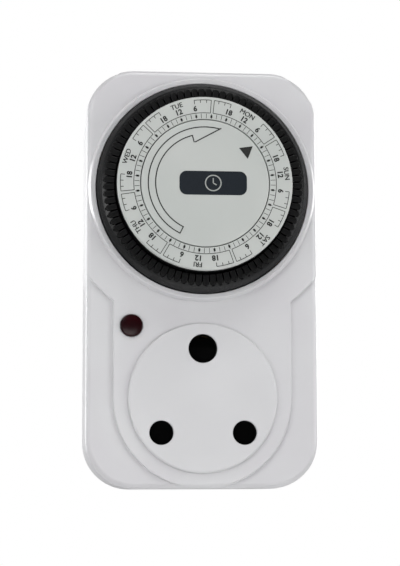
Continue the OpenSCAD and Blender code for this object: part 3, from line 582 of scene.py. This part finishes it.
window = block((cover_high.x - WALL - 1, knob_low.y + 4.5, knob_low.z + 1.5),
               (cover_high.x + 1, knob_high.y - 0.5, knob_high.z - 1.5))
cutters = [opening(HOLE_R, COLLAR_TOP - 0.4, 0.25, DIAL, 160),
           opening(INSERT_R + 0.02, PANEL_H, 0.06, (0, 0), 128),
           opening(LENS_R + 0.1, PANEL_H, 0.2, LENS, 48), window]
cutters += [disc(BOSS_BORE_R, SEAM_H - 1, SEAM_H + 10, b, 24) for b in BOSSES]
cover = combine("DIFFERENCE", cover, gathered(cutters))
finish_piece(cover, "front_cover_moulding", "housing", "white_abs", ["front_cover"], sharp=30)

# %% [markdown]
# ## Rear housing
#
# Behind the seam sits the plain back half, with the wall plug's three pins. Its inner posts and
# holes are already right, so it starts from a merged copy of the engineering node, and only two
# loops of edges are rounded: the back edge, and the lip at the seam, which leaves the thin dark line
# that shows where the two mouldings meet.

# %% Round the back edge and the seam
BACK_R = 1.2
NEAR_WALL = 0.5  # how close to the outline a point counts as on the outer wall
rear = node_copy("rear_housing")
rear_low, rear_high = drawn_box("rear_housing")


def on_outer_wall(vert):
    """Whether a point is on the housing's outer wall: by a straight side, or around a corner's centre."""
    x, y = abs(vert.co.x), vert.co.y
    if x < rear_high.x - CORNER_BOTTOM or rear_low.y + CORNER_BOTTOM < y < rear_high.y - CORNER_BOTTOM:
        return (x > rear_high.x - NEAR_WALL or y > rear_high.y - NEAR_WALL
                or y < rear_low.y + NEAR_WALL)
    radius = CORNER_TOP if y > DIAL.y else CORNER_BOTTOM
    level = rear_high.y - radius if y > DIAL.y else rear_low.y + radius
    return (Vector((x, y)) - Vector((rear_high.x - radius, level))).length > radius - NEAR_WALL


def outer_loop(shape, level):
    """The edges at one height that run round the outside of the housing."""
    return [e for e in level_edges(shape, level)
            if e.calc_face_angle(0) > 1 and all(on_outer_wall(v) for v in e.verts)]


round_edges(rear, outer_loop(rear, rear_low.z), BACK_R, 4)
round_edges(rear, outer_loop(rear, SEAM_H), SEAM_R, 2)
finish_piece(rear, "rear_moulding", "housing", "white_abs", ["rear_housing"], sharp=30)

# %% [markdown]
# ## Socket face
#
# The socket's round face is a moulding of its own, pushed in from behind and standing one
# millimetre proud of the panel. A wide flange holds it behind the cover. Its three holes have
# rounded mouths that guide a plug's pins. Below a short lip each hole is lined with the shutter's
# black nylon: painted shade, a dark lining that stands in for the shade deep in the holes, so the
# holes look black from every side.

# %% Turn the face and drill its holes
earth_hole = (0, middle("earth_pin").y)
LINE = middle("live_pin")
FACE_EDGE_R = 0.8
FLANGE_R = INSERT_R + INSERT_FLANGE
face = turned(softened([(0, insert_low.z, 0), (FLANGE_R, insert_low.z, 0), (FLANGE_R, face_in, 0),
                        (INSERT_R, face_in, 0), (INSERT_R, insert_high.z, FACE_EDGE_R),
                        (0, insert_high.z, 0)]), steps=128)
EARTH_HOLE_R = 4.42
LINE_HOLE_R = 3.68
HOLES = ((EARTH_HOLE_R, earth_hole), (LINE_HOLE_R, LINE), (LINE_HOLE_R, (-LINE.x, LINE.y)))
LIP = 1.2  # depth of the white part of each hole
RELIEF = 1.2  # thickness of its lining
LINER_STEP = 0.08
holes = [opening(radius, insert_high.z, 0.3, spot, 64, insert_low.z - 1, LIP, RELIEF)
         for radius, spot in HOLES]
face = combine("DIFFERENCE", face, gathered(holes))
finish_piece(face, "socket_face_moulding", "housing", "socket_face", ["socket_insert"], sharp=30)
# The black liners below each lip are painted shade, standing in for the shade deep inside the holes.
liner_top = insert_high.z - LIP
liners = [turned(softened([(radius + LINER_STEP, insert_low.z, 0), (radius + RELIEF, insert_low.z, 0),
                           (radius + RELIEF, liner_top, 0), (radius + LINER_STEP, liner_top, 0.15)]),
                 spot, 64, closed=True)
          for radius, spot in HOLES]
finish_piece(gathered(liners), "painted_shade_hole_liners", "housing", "shutter_black")

# %% [markdown]
# ## Neon lens
#
# A small dark red cap with a flange behind the panel. It is hollow, and a shallow dome faces the
# user.

# %% Turn the lens
lens_low, lens_high = drawn_box("neon_lens")
DOME = 0.35
LENS_HOLLOW_R = 2.4
LENS_RIM_R = LENS_R + LENS_FLANGE
dome = [(LENS_R * math.cos(a * math.pi / 20), lens_high.z - DOME + DOME * math.sin(a * math.pi / 20))
        for a in range(1, 11)]
lens_shape = turned(softened([(0, lens_high.z - 1.6, 0), (LENS_HOLLOW_R, lens_high.z - 1.9, 0.6),
                              (LENS_HOLLOW_R, lens_low.z, 0), (LENS_RIM_R, lens_low.z, 0),
                              (LENS_RIM_R, face_in, 0), (LENS_R, face_in, 0),
                              (LENS_R, lens_high.z - DOME, 0)]) + dome, LENS, 48)
finish_piece(lens_shape, "neon_lens_cap", "housing", "neon_red", ["neon_lens"])

# %% [markdown]
# ## Dial ring
#
# The black ring turns once a week. Its rim curves down towards the cover, so that a finger can grip
# it, and its inner edge is scalloped: each of the 84 tappets slides in a notch of its own. The hub
# and the gear underneath come from the engineering node. Only the rim is made anew, with soft edges.

# %% Rim and notches
TAPPETS_A_DAY = 12
DAYS = ["sunday", "monday", "tuesday", "wednesday", "thursday", "friday", "saturday"]
TAPPETS = TAPPETS_A_DAY * len(DAYS)
STEP = math.tau / TAPPETS
WEEK_START = math.radians(-18.2)
tappet_low, tappet_high = drawn_box("tappets_sunday")
RIM_IN_R = RING_R - 3.18
RIM_TOP = tappet_high.z + 0.3
WEB_TOP = PANEL_H - 2.6
TAPPET_IN = SCALE_R + 0.55
TAPPET_OUT = RIM_IN_R + 1.25
STEM_W = 1.5
HEAD_W = 1.84
HEAD_LOW = tappet_high.z - 4.6
HEAD_NOTCH = 0.2  # how much wider a head's notch is than the head
STEM_NOTCH = 0.24


def tappet_shape(low, high, inner, outer, width, crown):
    """A slim upright block along the dial's radius, with a round outer end."""
    shape = block((inner, -width / 2, low), (outer, width / 2, high))
    outer_end = [e for e in shape.edges if all(abs(v.co.x - outer) < 0.01 for v in e.verts)
                 and abs(e.verts[0].co.z - e.verts[1].co.z) > 0.01]
    round_edges(shape, outer_end, width / 2 - 0.02, 4)
    if crown:
        round_edges(shape, level_edges(shape, high), crown, 2)
    return shape


def around_dial(shape, angle):
    """A copy of a shape, turned to its place around the dial."""
    copy = shape.copy()
    copy.transform(Matrix.Translation((DIAL.x, DIAL.y, 0)) @ Matrix.Rotation(angle, 4, "Z"))
    return copy


def tappet_angle(index):
    return WEEK_START + (index + 0.5) * STEP


stem_notch = tappet_shape(WEB_TOP - 0.5, RIM_TOP + 1, TAPPET_IN - 0.1, TAPPET_OUT,
                          STEM_W + STEM_NOTCH, 0)
head_notch = tappet_shape(WEB_TOP + 0.3, RIM_TOP + 1.1, RIM_IN_R - 0.3, TAPPET_OUT + 0.1,
                          HEAD_W + HEAD_NOTCH, 0)
notch = combine("UNION", stem_notch, head_notch)
notches = gathered([around_dial(notch, tappet_angle(i)) for i in range(TAPPETS)])
rim = turned(softened([(RIM_IN_R, WEB_TOP - 1, 0), (RIM_IN_R, RIM_TOP, 0.25),
                       (RIM_IN_R + 1.9, RIM_TOP - 1.4, 2.0), (RING_R, COLLAR_TOP, 0.4),
                       (RING_R, WEB_TOP - 1, 0)]), DIAL, 168, closed=True)
old_rim = turned([(RIM_IN_R - 0.2, WEB_TOP - 0.5), (RING_R + 1, WEB_TOP - 0.5),
                  (RING_R + 1, RIM_TOP + 1), (RIM_IN_R - 0.2, RIM_TOP + 1)], DIAL, 168, closed=True)
hub = combine("DIFFERENCE", node_copy("dial_ring"), old_rim)
ring = combine("UNION", hub, rim)
ring = combine("DIFFERENCE", ring, notches)
finish_piece(ring, "dial_ring_moulding", "dial", "black_abs", ["dial_ring"], sharp=30)

# %% [markdown]
# ## Tappets
#
# Each tappet switches two hours of its day. Pushed in, it presses the lever below the pointer. Its
# wide head nearly meets its neighbours, and a slim stem leads down through the ring. This stem reaches
# out as far as the head, so in the ring's hidden web it passes the end of its slot. A real one ends
# with the slot. The twelve tappets of a day ride together, as turned copies of one.

# %% Twelve tappets for each day
HEAD_CROWN = 0.3
stem = tappet_shape(tappet_low.z, HEAD_LOW + 0.2, TAPPET_IN + 0.05, TAPPET_OUT - 0.1, STEM_W, 0)
head = tappet_shape(HEAD_LOW, tappet_high.z, TAPPET_IN, TAPPET_OUT, HEAD_W, HEAD_CROWN)
tappet = combine("UNION", stem, head)
for day, day_name in enumerate(DAYS):
    first_one = day * TAPPETS_A_DAY
    group = gathered([around_dial(tappet, tappet_angle(first_one + i)) for i in range(TAPPETS_A_DAY)])
    finish_piece(group, f"tappets_{day_name}_heads", f"tappets_{day_name}", "tappet_black",
                 [f"tappets_{day_name}"], sharp=30)

# %% [markdown]
# ## Scale and centre disc
#
# The printed scale turns with the dial, and the centre disc inside it stands still. Both are thin
# white plates with a slightly rounded edge. The print lies on them as a film that stands three
# hundredths of a millimetre proud, which is thicker than ink but still reads as flat.

# %% Plates
INK_LOW = SCALE_H - 0.05
INK_HIGH = SCALE_H - 0.01
PLATE_TOP = INK_LOW + 0.01
PLATE_GAP = 0.3  # between the turning scale and the fixed disc
CENTRE_R = half_width("centre_disc")
scale_low = drawn_box("dial_scale")[0].z
scale_plate = turned(softened([(CENTRE_R + PLATE_GAP, scale_low, 0), (SCALE_R, scale_low, 0),
                               (SCALE_R, PLATE_TOP, 0.35), (CENTRE_R + PLATE_GAP, PLATE_TOP, 0.15)]),
                     DIAL, 160, closed=True)
finish_piece(scale_plate, "scale_plate", "dial", "scale_white", ["dial_scale"])

disc_boss_low = drawn_box("centre_disc")[0].z
DISC_BOSS_R = 5.0
DISC_BORE_R = 2.9
disc_under = scale_low + 0.4
bore_end = scale_low + 0.9
centre_plate = turned(softened([(0, bore_end, 0), (DISC_BORE_R, bore_end, 0), (DISC_BORE_R, disc_boss_low, 0),
                                (DISC_BOSS_R, disc_boss_low, 0), (DISC_BOSS_R, disc_under, 0),
                                (CENTRE_R, disc_under, 0), (CENTRE_R, PLATE_TOP, 0.15),
                                (0, PLATE_TOP, 0)]), DIAL, 160)
finish_piece(centre_plate, "centre_plate", "housing", "scale_white", ["centre_disc"])


# %% [markdown]
# ## Print
#
# Days run anticlockwise around the scale, so that the time under the pointer moves on as the dial
# turns clockwise. A printed line is a thin bar, and a curved line is a small square spun through a
# part of a turn. Letters come from a text object that is made into a mesh before it is placed.


# %% Bars, arcs and lettering
def ink_bar(start, end, width):
    """A straight line from one point to another."""
    start, end = Vector(start), Vector(end)
    along = end - start
    shape = block((0, -width / 2, INK_LOW), (along.length, width / 2, INK_HIGH))
    shape.transform(Matrix.Translation((start.x, start.y, 0))
                    @ Matrix.Rotation(math.atan2(along.y, along.x), 4, "Z"))
    return shape


def on_dial(radius, angle):
    """A point on the dial, with its radius as a share of the scale's."""
    return DIAL + Vector((math.cos(angle), math.sin(angle))) * radius * SCALE_R


def ink_ray(inner, outer, angle, width):
    return ink_bar(on_dial(inner, angle), on_dial(outer, angle), width)


def ink_arc(radius, start, end, width):
    """A curved line around the dial's centre."""
    r = radius * SCALE_R
    shape = bmesh.new()
    corners = [(r - width / 2, INK_LOW), (r + width / 2, INK_LOW), (r + width / 2, INK_HIGH),
               (r - width / 2, INK_HIGH)]
    square = shape.faces.new([shape.verts.new((x, 0, h)) for x, h in corners])
    steps = max(2, round(abs(end - start) / math.radians(2)))
    bmesh.ops.spin(shape, geom=[square], cent=(0, 0, 0), axis=(0, 0, 1), angle=end - start, steps=steps)
    shape.transform(Matrix.Translation((DIAL.x, DIAL.y, 0)) @ Matrix.Rotation(start, 4, "Z"))
    return shape


def lettering(text, size, bold, strike=0.0):
    """Text as a mesh, centred on the origin and as thick as the ink. strike prints it twice, shifted."""
    curve = bpy.data.curves.new("lettering", "FONT")
    curve.body = text
    curve.size = size
    curve.offset = bold
    curve.align_x = "CENTER"
    curve.align_y = "CENTER"
    curve.extrude = (INK_HIGH - INK_LOW) / 2
    curve.resolution_u = 3
    writer = bpy.data.objects.new("lettering", curve)
    bpy.context.scene.collection.objects.link(writer)
    shape = bmesh.new()
    shape.from_mesh(writer.evaluated_get(bpy.context.evaluated_depsgraph_get()).to_mesh())
    bpy.data.objects.remove(writer)
    bpy.data.curves.remove(curve)
    bmesh.ops.remove_doubles(shape, verts=shape.verts, dist=1e-5)
    if strike:
        second = shape.copy()
        second.transform(Matrix.Translation((strike, strike / 2, 0)))
        shape = gathered([shape, second])
    return shape


def dial_text(text, radius, angle, size, bold, strike=0.0):
    """Text on the dial with its top pointing outwards."""
    shape = lettering(text, size, bold, strike)
    spot = on_dial(radius, angle)
    shape.transform(Matrix.Translation((spot.x, spot.y, (INK_LOW + INK_HIGH) / 2))
                    @ Matrix.Rotation(angle - math.pi / 2, 4, "Z"))
    return shape


# %% [markdown]
# The scale's pattern repeats for each day: a line around the inside, two open brackets for the night
# hours, numbers at 6, 12 and 18, the day's name, and a tick for every tappet, each third one bold.

# %% Print the scale
DAY = math.tau / len(DAYS)
HOUR = DAY / 24
FINE = 0.2  # widths of lines, in millimetres
TICK_W = 0.16
BOLD_W = 0.6
TICK_IN, TICK_OUT = 0.748, 0.803  # radii, as shares of the scale's
BOLD_IN, BOLD_OUT = 0.757, 0.788
LINE_R, BRACKET_R = 0.812, 0.963
HOUR_R, NAME_R = 0.862, 0.935
HOUR_SIZE, HOUR_BOLD = 2.25, 0.09
NAME_SIZE, NAME_STRIKE = 2.1, 0.1
print_shapes = []
for day, day_name in enumerate(DAYS):
    midnight = WEEK_START + day * DAY
    first, last = midnight + 0.5 * HOUR, midnight + 23.5 * HOUR
    print_shapes.append(ink_arc(LINE_R, first, last, FINE))
    for side, inner_hours, end_hour in ((first, (2, 4), 6), (last, (20, 22), 18)):
        bracket_end = midnight + end_hour * HOUR
        print_shapes.append(ink_ray(LINE_R, BRACKET_R, side, FINE))
        print_shapes.append(ink_arc(BRACKET_R, min(side, bracket_end), max(side, bracket_end), FINE))
        print_shapes.append(ink_ray(BRACKET_R - 0.045, BRACKET_R, bracket_end, FINE))
        for hour in inner_hours:
            print_shapes.append(ink_ray(BRACKET_R - 0.035, BRACKET_R, midnight + hour * HOUR, FINE))
    for hour in (6, 12, 18):
        print_shapes.append(dial_text(str(hour), HOUR_R, midnight + hour * HOUR, HOUR_SIZE, HOUR_BOLD))
    print_shapes.append(dial_text(day_name[:3].upper(), NAME_R, midnight + 12 * HOUR, NAME_SIZE, 0,
                                  NAME_STRIKE))
    for tick in range(TAPPETS_A_DAY):
        print_shapes.append(ink_ray(TICK_IN, TICK_OUT, midnight + tick * STEP, TICK_W))
        if tick % 3 == 0:
            print_shapes.append(ink_ray(BOLD_IN, BOLD_OUT, midnight + tick * STEP, BOLD_W))
finish_piece(gathered(print_shapes), "scale_print", "dial", "ink_black")

# %% [markdown]
# ## Print on the centre disc
#
# An outlined arrow shows which way the dial turns, and a black triangle is the pointer that the time
# is set against.

# %% Arrow, pointer and badge
ARROW_TAIL = math.radians(243.5)
ARROW_NECK = math.radians(105)
ARROW_TIP = math.radians(73.7)
ARROW_LINE = 0.34
ARROW_OUT, ARROW_IN = 0.648, 0.565
tip = on_dial(0.662, ARROW_TIP)
barb = on_dial(0.484, math.radians(104))
arrow = [ink_arc(ARROW_OUT, ARROW_TIP + 0.02, ARROW_TAIL, ARROW_LINE),
         ink_arc(ARROW_IN, ARROW_NECK, ARROW_TAIL, ARROW_LINE),
         ink_ray(0.559, 0.654, ARROW_TAIL, ARROW_LINE),
         ink_ray(0.484, 0.571, ARROW_NECK, ARROW_LINE),
         ink_bar(barb, tip, ARROW_LINE)]
finish_piece(gathered(arrow), "arrow_print", "housing", "ink_black")

POINTER = math.radians(38.5)
POINTER_IN, POINTER_OUT, POINTER_HALF = 0.558, 0.695, 0.08
pointer = bmesh.new()
base = on_dial(POINTER_IN, POINTER)
base_side = Vector((-math.sin(POINTER), math.cos(POINTER))) * POINTER_HALF * SCALE_R
pointer_face = pointer.faces.new([pointer.verts.new((*spot, INK_LOW)) for spot in (
    base - base_side, on_dial(POINTER_OUT, POINTER), base + base_side)])
lifted = bmesh.ops.extrude_face_region(pointer, geom=[pointer_face], use_keep_orig=True)
bmesh.ops.translate(pointer, vec=(0, 0, INK_HIGH - INK_LOW),
                    verts=[v for v in lifted["geom"] if isinstance(v, bmesh.types.BMVert)])
finish_piece(pointer, "pointer_print", "housing", "ink_black")

BADGE = DIAL + Vector((0.09, 0)) * SCALE_R
BADGE_HALF = Vector((0.385, 0.1375)) * SCALE_R
BADGE_CORNER = 2.2
BADGE_TOP = INK_LOW + 0.025
CLOCK_IN, CLOCK_OUT = 2.2, 2.55
CLOCK_HAND_W = 0.34
badge = rounded_block((BADGE.x - BADGE_HALF.x, BADGE.y - BADGE_HALF.y, INK_LOW),
                      (BADGE.x + BADGE_HALF.x, BADGE.y + BADGE_HALF.y, BADGE_TOP),
                      BADGE_CORNER, BADGE_CORNER, steps=6)
finish_piece(badge, "badge_label", "housing", "badge_slate")
clock = [turned([(CLOCK_IN, INK_LOW), (CLOCK_OUT, INK_LOW), (CLOCK_OUT, INK_HIGH), (CLOCK_IN, INK_HIGH)],
                BADGE, 48, closed=True)]
for hand in ((0, 1.5), (1.0, -0.6)):
    clock.append(ink_bar(BADGE, BADGE + Vector(hand), CLOCK_HAND_W))
finish_piece(gathered(clock), "clock_sign", "housing", "ink_grey")

# %% [markdown]
# ## Pins, screws and knob
#
# The plug's pins are solid brass, turned to size with a rounded nose. The earth pin is longer and
# thicker, so that it meets first. Each pin's neck passes the back wall and ends in a head inside.

# %% Turn the pins
PIN_HEAD = 1.4  # how much wider the head is than the pin, on each side
PIN_NECK = 0.5  # how much slimmer the neck is
BACK_WALL = 2.4
for pin in ("earth", "live", "neutral"):
    pin_low, pin_high = drawn_box(f"{pin}_pin")
    head_r = half_width(f"{pin}_pin")
    pin_r = head_r - PIN_HEAD
    neck_r = pin_r - PIN_NECK
    pin_shape = turned(softened([(0, pin_low.z, 0), (pin_r - 1, pin_low.z, 0.8),
                                 (pin_r, pin_low.z + 1, 0.8), (pin_r, 0, 0), (neck_r, 0, 0),
                                 (neck_r, BACK_WALL, 0), (head_r, BACK_WALL, 0),
                                 (head_r, pin_high.z, 0.3), (0, pin_high.z, 0)]), middle(f"{pin}_pin"), 64)
    finish_piece(pin_shape, f"{pin}_pin_turned", "housing", "brass_pin", [f"{pin}_pin"])

# %% [markdown]
# Four slotted screws hold the halves together. Their heads lie just below the back face.

# %% Housing screws
SCREW_R = 1.3
SLOT_HALF = 0.3
SLOT_DEPTH = 0.6
head_end = screws_low.z + 1.6
screw_shapes = []
for boss in BOSSES:
    screw = turned(softened([(0, screws_low.z, 0), (SCREW_HEAD_R, screws_low.z, 0.5),
                             (SCREW_HEAD_R, head_end, 0), (SCREW_R, head_end, 0),
                             (SCREW_R, screws_high.z, 0.4), (0, screws_high.z, 0)]), boss, 40)
    slot_cut = block((boss[0] - 3, boss[1] - SLOT_HALF, screws_low.z - 1),
                     (boss[0] + 3, boss[1] + SLOT_HALF, screws_low.z + SLOT_DEPTH))
    screw_shapes.append(combine("DIFFERENCE", screw, slot_cut))
finish_piece(gathered(screw_shapes), "slotted_screws", "housing", "steel_zinc", ["housing_screws"])

# %% [markdown]
# The override knob slides in the right wall. A merged copy of its node with every sharp edge rounded
# is enough, because its ribs and its tail are already there.

# %% Soften the override knob
knob = node_copy("override_knob")
knob_edges = [e for e in knob.edges if len(e.link_faces) == 2 and e.calc_face_angle(0) > 0.6]
round_edges(knob, knob_edges, 0.12, 2)
finish_piece(knob, "override_knob_moulding", "override_knob", "knob_grey", ["override_knob"])

# %% [markdown]
# The shutter's spring is pressed flat when a plug's earth pin pushes the shutter down. A coil can't
# follow a sliding piece as a whole. Here the spring is a finished copy of its node with a mesh of its own,
# which does not shorten.

# %% Finish the shutter's spring with a mesh of its own
spring = finish_piece(node_copy("shutter_spring"), "shutter_spring_coil", "housing", "spring_steel",
                      ["shutter_spring"])
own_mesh(spring)

# %% [markdown]
# ## Studio
#
# The timer stands in the air above a pale floor, as a catalogue shows it. A camera ray, or one that
# passes a clear piece, sees pure white there, and a ray of soft light sees a pale grey, so the
# background stays white without any more light on the object. A reflection sees a white pool below
# the timer that fades further out. The room is dark above and behind the camera, which keeps the
# black dial black, and a softbox on each side draws a light line along the edges.

# %% Floor, room and lamps
FLOOR_Z = -0.16
POOL_EDGE = 0.18  # metres from the middle at which the white starts to fade
POOL_END = 0.28
POOL_REST = 0.3  # what a reflection sees past the pool


def studio_white(name, grey):
    """White for the camera, a fading white pool for reflections, a pale grey for everything else."""
    material = bpy.data.materials.new(name)
    material.use_nodes = True
    nodes = material.node_tree.nodes
    shader = nodes["Principled BSDF"]
    shader.inputs["Base Color"].default_value = linear(grey)
    shader.inputs["Roughness"].default_value = 0.9
    ray = add_node(material, "ShaderNodeLightPath")
    clear = add_node(material, "ShaderNodeMath",
                     {0: ray.outputs["Is Camera Ray"], 1: ray.outputs["Is Transmission Ray"]},
                     operation="MAXIMUM").outputs[0]
    seen = add_node(material, "ShaderNodeMath", {0: clear, 1: ray.outputs["Is Glossy Ray"]},
                    operation="MAXIMUM").outputs[0]
    place = add_node(material, "ShaderNodeTexCoord")
    reach = add_node(material, "ShaderNodeVectorMath", {0: place.outputs["Object"]}, operation="LENGTH")
    pool = add_node(material, "ShaderNodeMapRange",
                    {"Value": reach.outputs["Value"], "From Min": POOL_EDGE, "From Max": POOL_END,
                     "To Min": 1.0, "To Max": POOL_REST})
    level = add_node(material, "ShaderNodeMath", {0: pool.outputs["Result"], 1: clear},
                     operation="MAXIMUM")
    glow = add_node(material, "ShaderNodeEmission",
                    {"Color": (1, 1, 1, 1), "Strength": level.outputs[0]})
    mixed = add_node(material, "ShaderNodeMixShader",
                     {0: seen, 1: shader.outputs["BSDF"], 2: glow.outputs["Emission"]})
    material.node_tree.links.new(mixed.outputs["Shader"], nodes["Material Output"].inputs["Surface"])
    return material


floor_mesh = bpy.data.meshes.new("studio_floor")
floor_shape = bmesh.new()
bmesh.ops.create_grid(floor_shape, x_segments=1, y_segments=1, size=2.0)
bmesh.ops.translate(floor_shape, vec=(0, 0, FLOOR_Z), verts=floor_shape.verts)
floor_shape.to_mesh(floor_mesh)
floor_shape.free()
floor_mesh.materials.append(studio_white("pale studio floor", "#e6e6e6"))
floor = bpy.data.objects.new("studio_floor", floor_mesh)
bpy.context.scene.collection.objects.link(floor)

world = bpy.data.worlds.new("studio")
bpy.context.scene.world = world
world.use_nodes = True
sky = world.node_tree.nodes["Background"]
sky.inputs["Color"].default_value = (1, 1, 1, 1)
direction = add_node(world, "ShaderNodeTexCoord")
DARK_SIDE = (0.4, -1, 1)  # up, behind the camera, and a little to the right
ROOM_LIGHT, ROOM_DARK = 0.4, 0.06
facing = add_node(world, "ShaderNodeVectorMath", {0: direction.outputs["Generated"], 1: DARK_SIDE},
                  operation="DOT_PRODUCT")
room = add_node(world, "ShaderNodeMapRange",
                {"Value": facing.outputs["Value"], "From Min": -0.1, "From Max": 0.8,
                 "To Min": ROOM_LIGHT, "To Max": ROOM_DARK})
world_ray = add_node(world, "ShaderNodeLightPath")
seen_sky = add_node(world, "ShaderNodeMath",
                    {0: world_ray.outputs["Is Camera Ray"], 1: world_ray.outputs["Is Transmission Ray"]},
                    operation="MAXIMUM")
sky_level = add_node(world, "ShaderNodeMath", {0: room.outputs["Result"], 1: seen_sky.outputs[0]},
                     operation="MAXIMUM")
world.node_tree.links.new(sky_level.outputs[0], sky.inputs["Strength"])
TIMER_MIDDLE = Vector((0, -0.02, 0.037))


def soft_lamp(name, place, size, power):
    """A square softbox aimed at the middle of the timer."""
    lamp_data = bpy.data.lights.new(name, "AREA")
    lamp_data.size = size
    lamp_data.energy = power
    lamp = bpy.data.objects.new(name, lamp_data)
    lamp.location = place
    lamp.visible_camera = False
    aim = TIMER_MIDDLE - Vector(place)
    lamp.rotation_euler = aim.to_track_quat("-Z", "Y").to_euler()
    bpy.context.scene.collection.objects.link(lamp)


for lamp_name, lamp_place, lamp_size, lamp_power in (
        ("key softbox", (-0.45, -0.75, 0.65), 0.7, 2.6),
        ("top softbox", (0.15, -0.45, 0.95), 0.5, 4.2),
        ("left softbox", (-0.8, -0.5, 0.05), 0.4, 1.7),
        ("right softbox", (0.8, -0.5, 0.05), 0.4, 3.0),
        ("low softbox", (-0.05, -0.6, -0.13), 0.3, 0.6),
        ("left rim softbox", (-0.7, 0.58, 0.1), 0.5, 4.4),
        ("right rim softbox", (0.7, 0.58, 0.1), 0.5, 3.4),
        ("back softbox", (0, 0.95, 0.45), 0.6, 1.2)):
    soft_lamp(lamp_name, lamp_place, lamp_size, lamp_power)

# %% [markdown]
# ## Camera
#
# The view is a long lens from slightly below and to the left of the dial's axis.

# %% Camera
camera_data = bpy.data.cameras.new("camera")
camera_data.lens = 102.8
camera_data.sensor_width = 36
camera = bpy.data.objects.new("camera", camera_data)
camera.location = (-0.04836, -0.52872, -0.02882)
camera.rotation_euler = [math.radians(a) for a in (97.416, 0.198, -5.525)]
bpy.context.scene.collection.objects.link(camera)
bpy.context.scene.camera = camera
bpy.context.scene.view_settings.view_transform = "Standard"
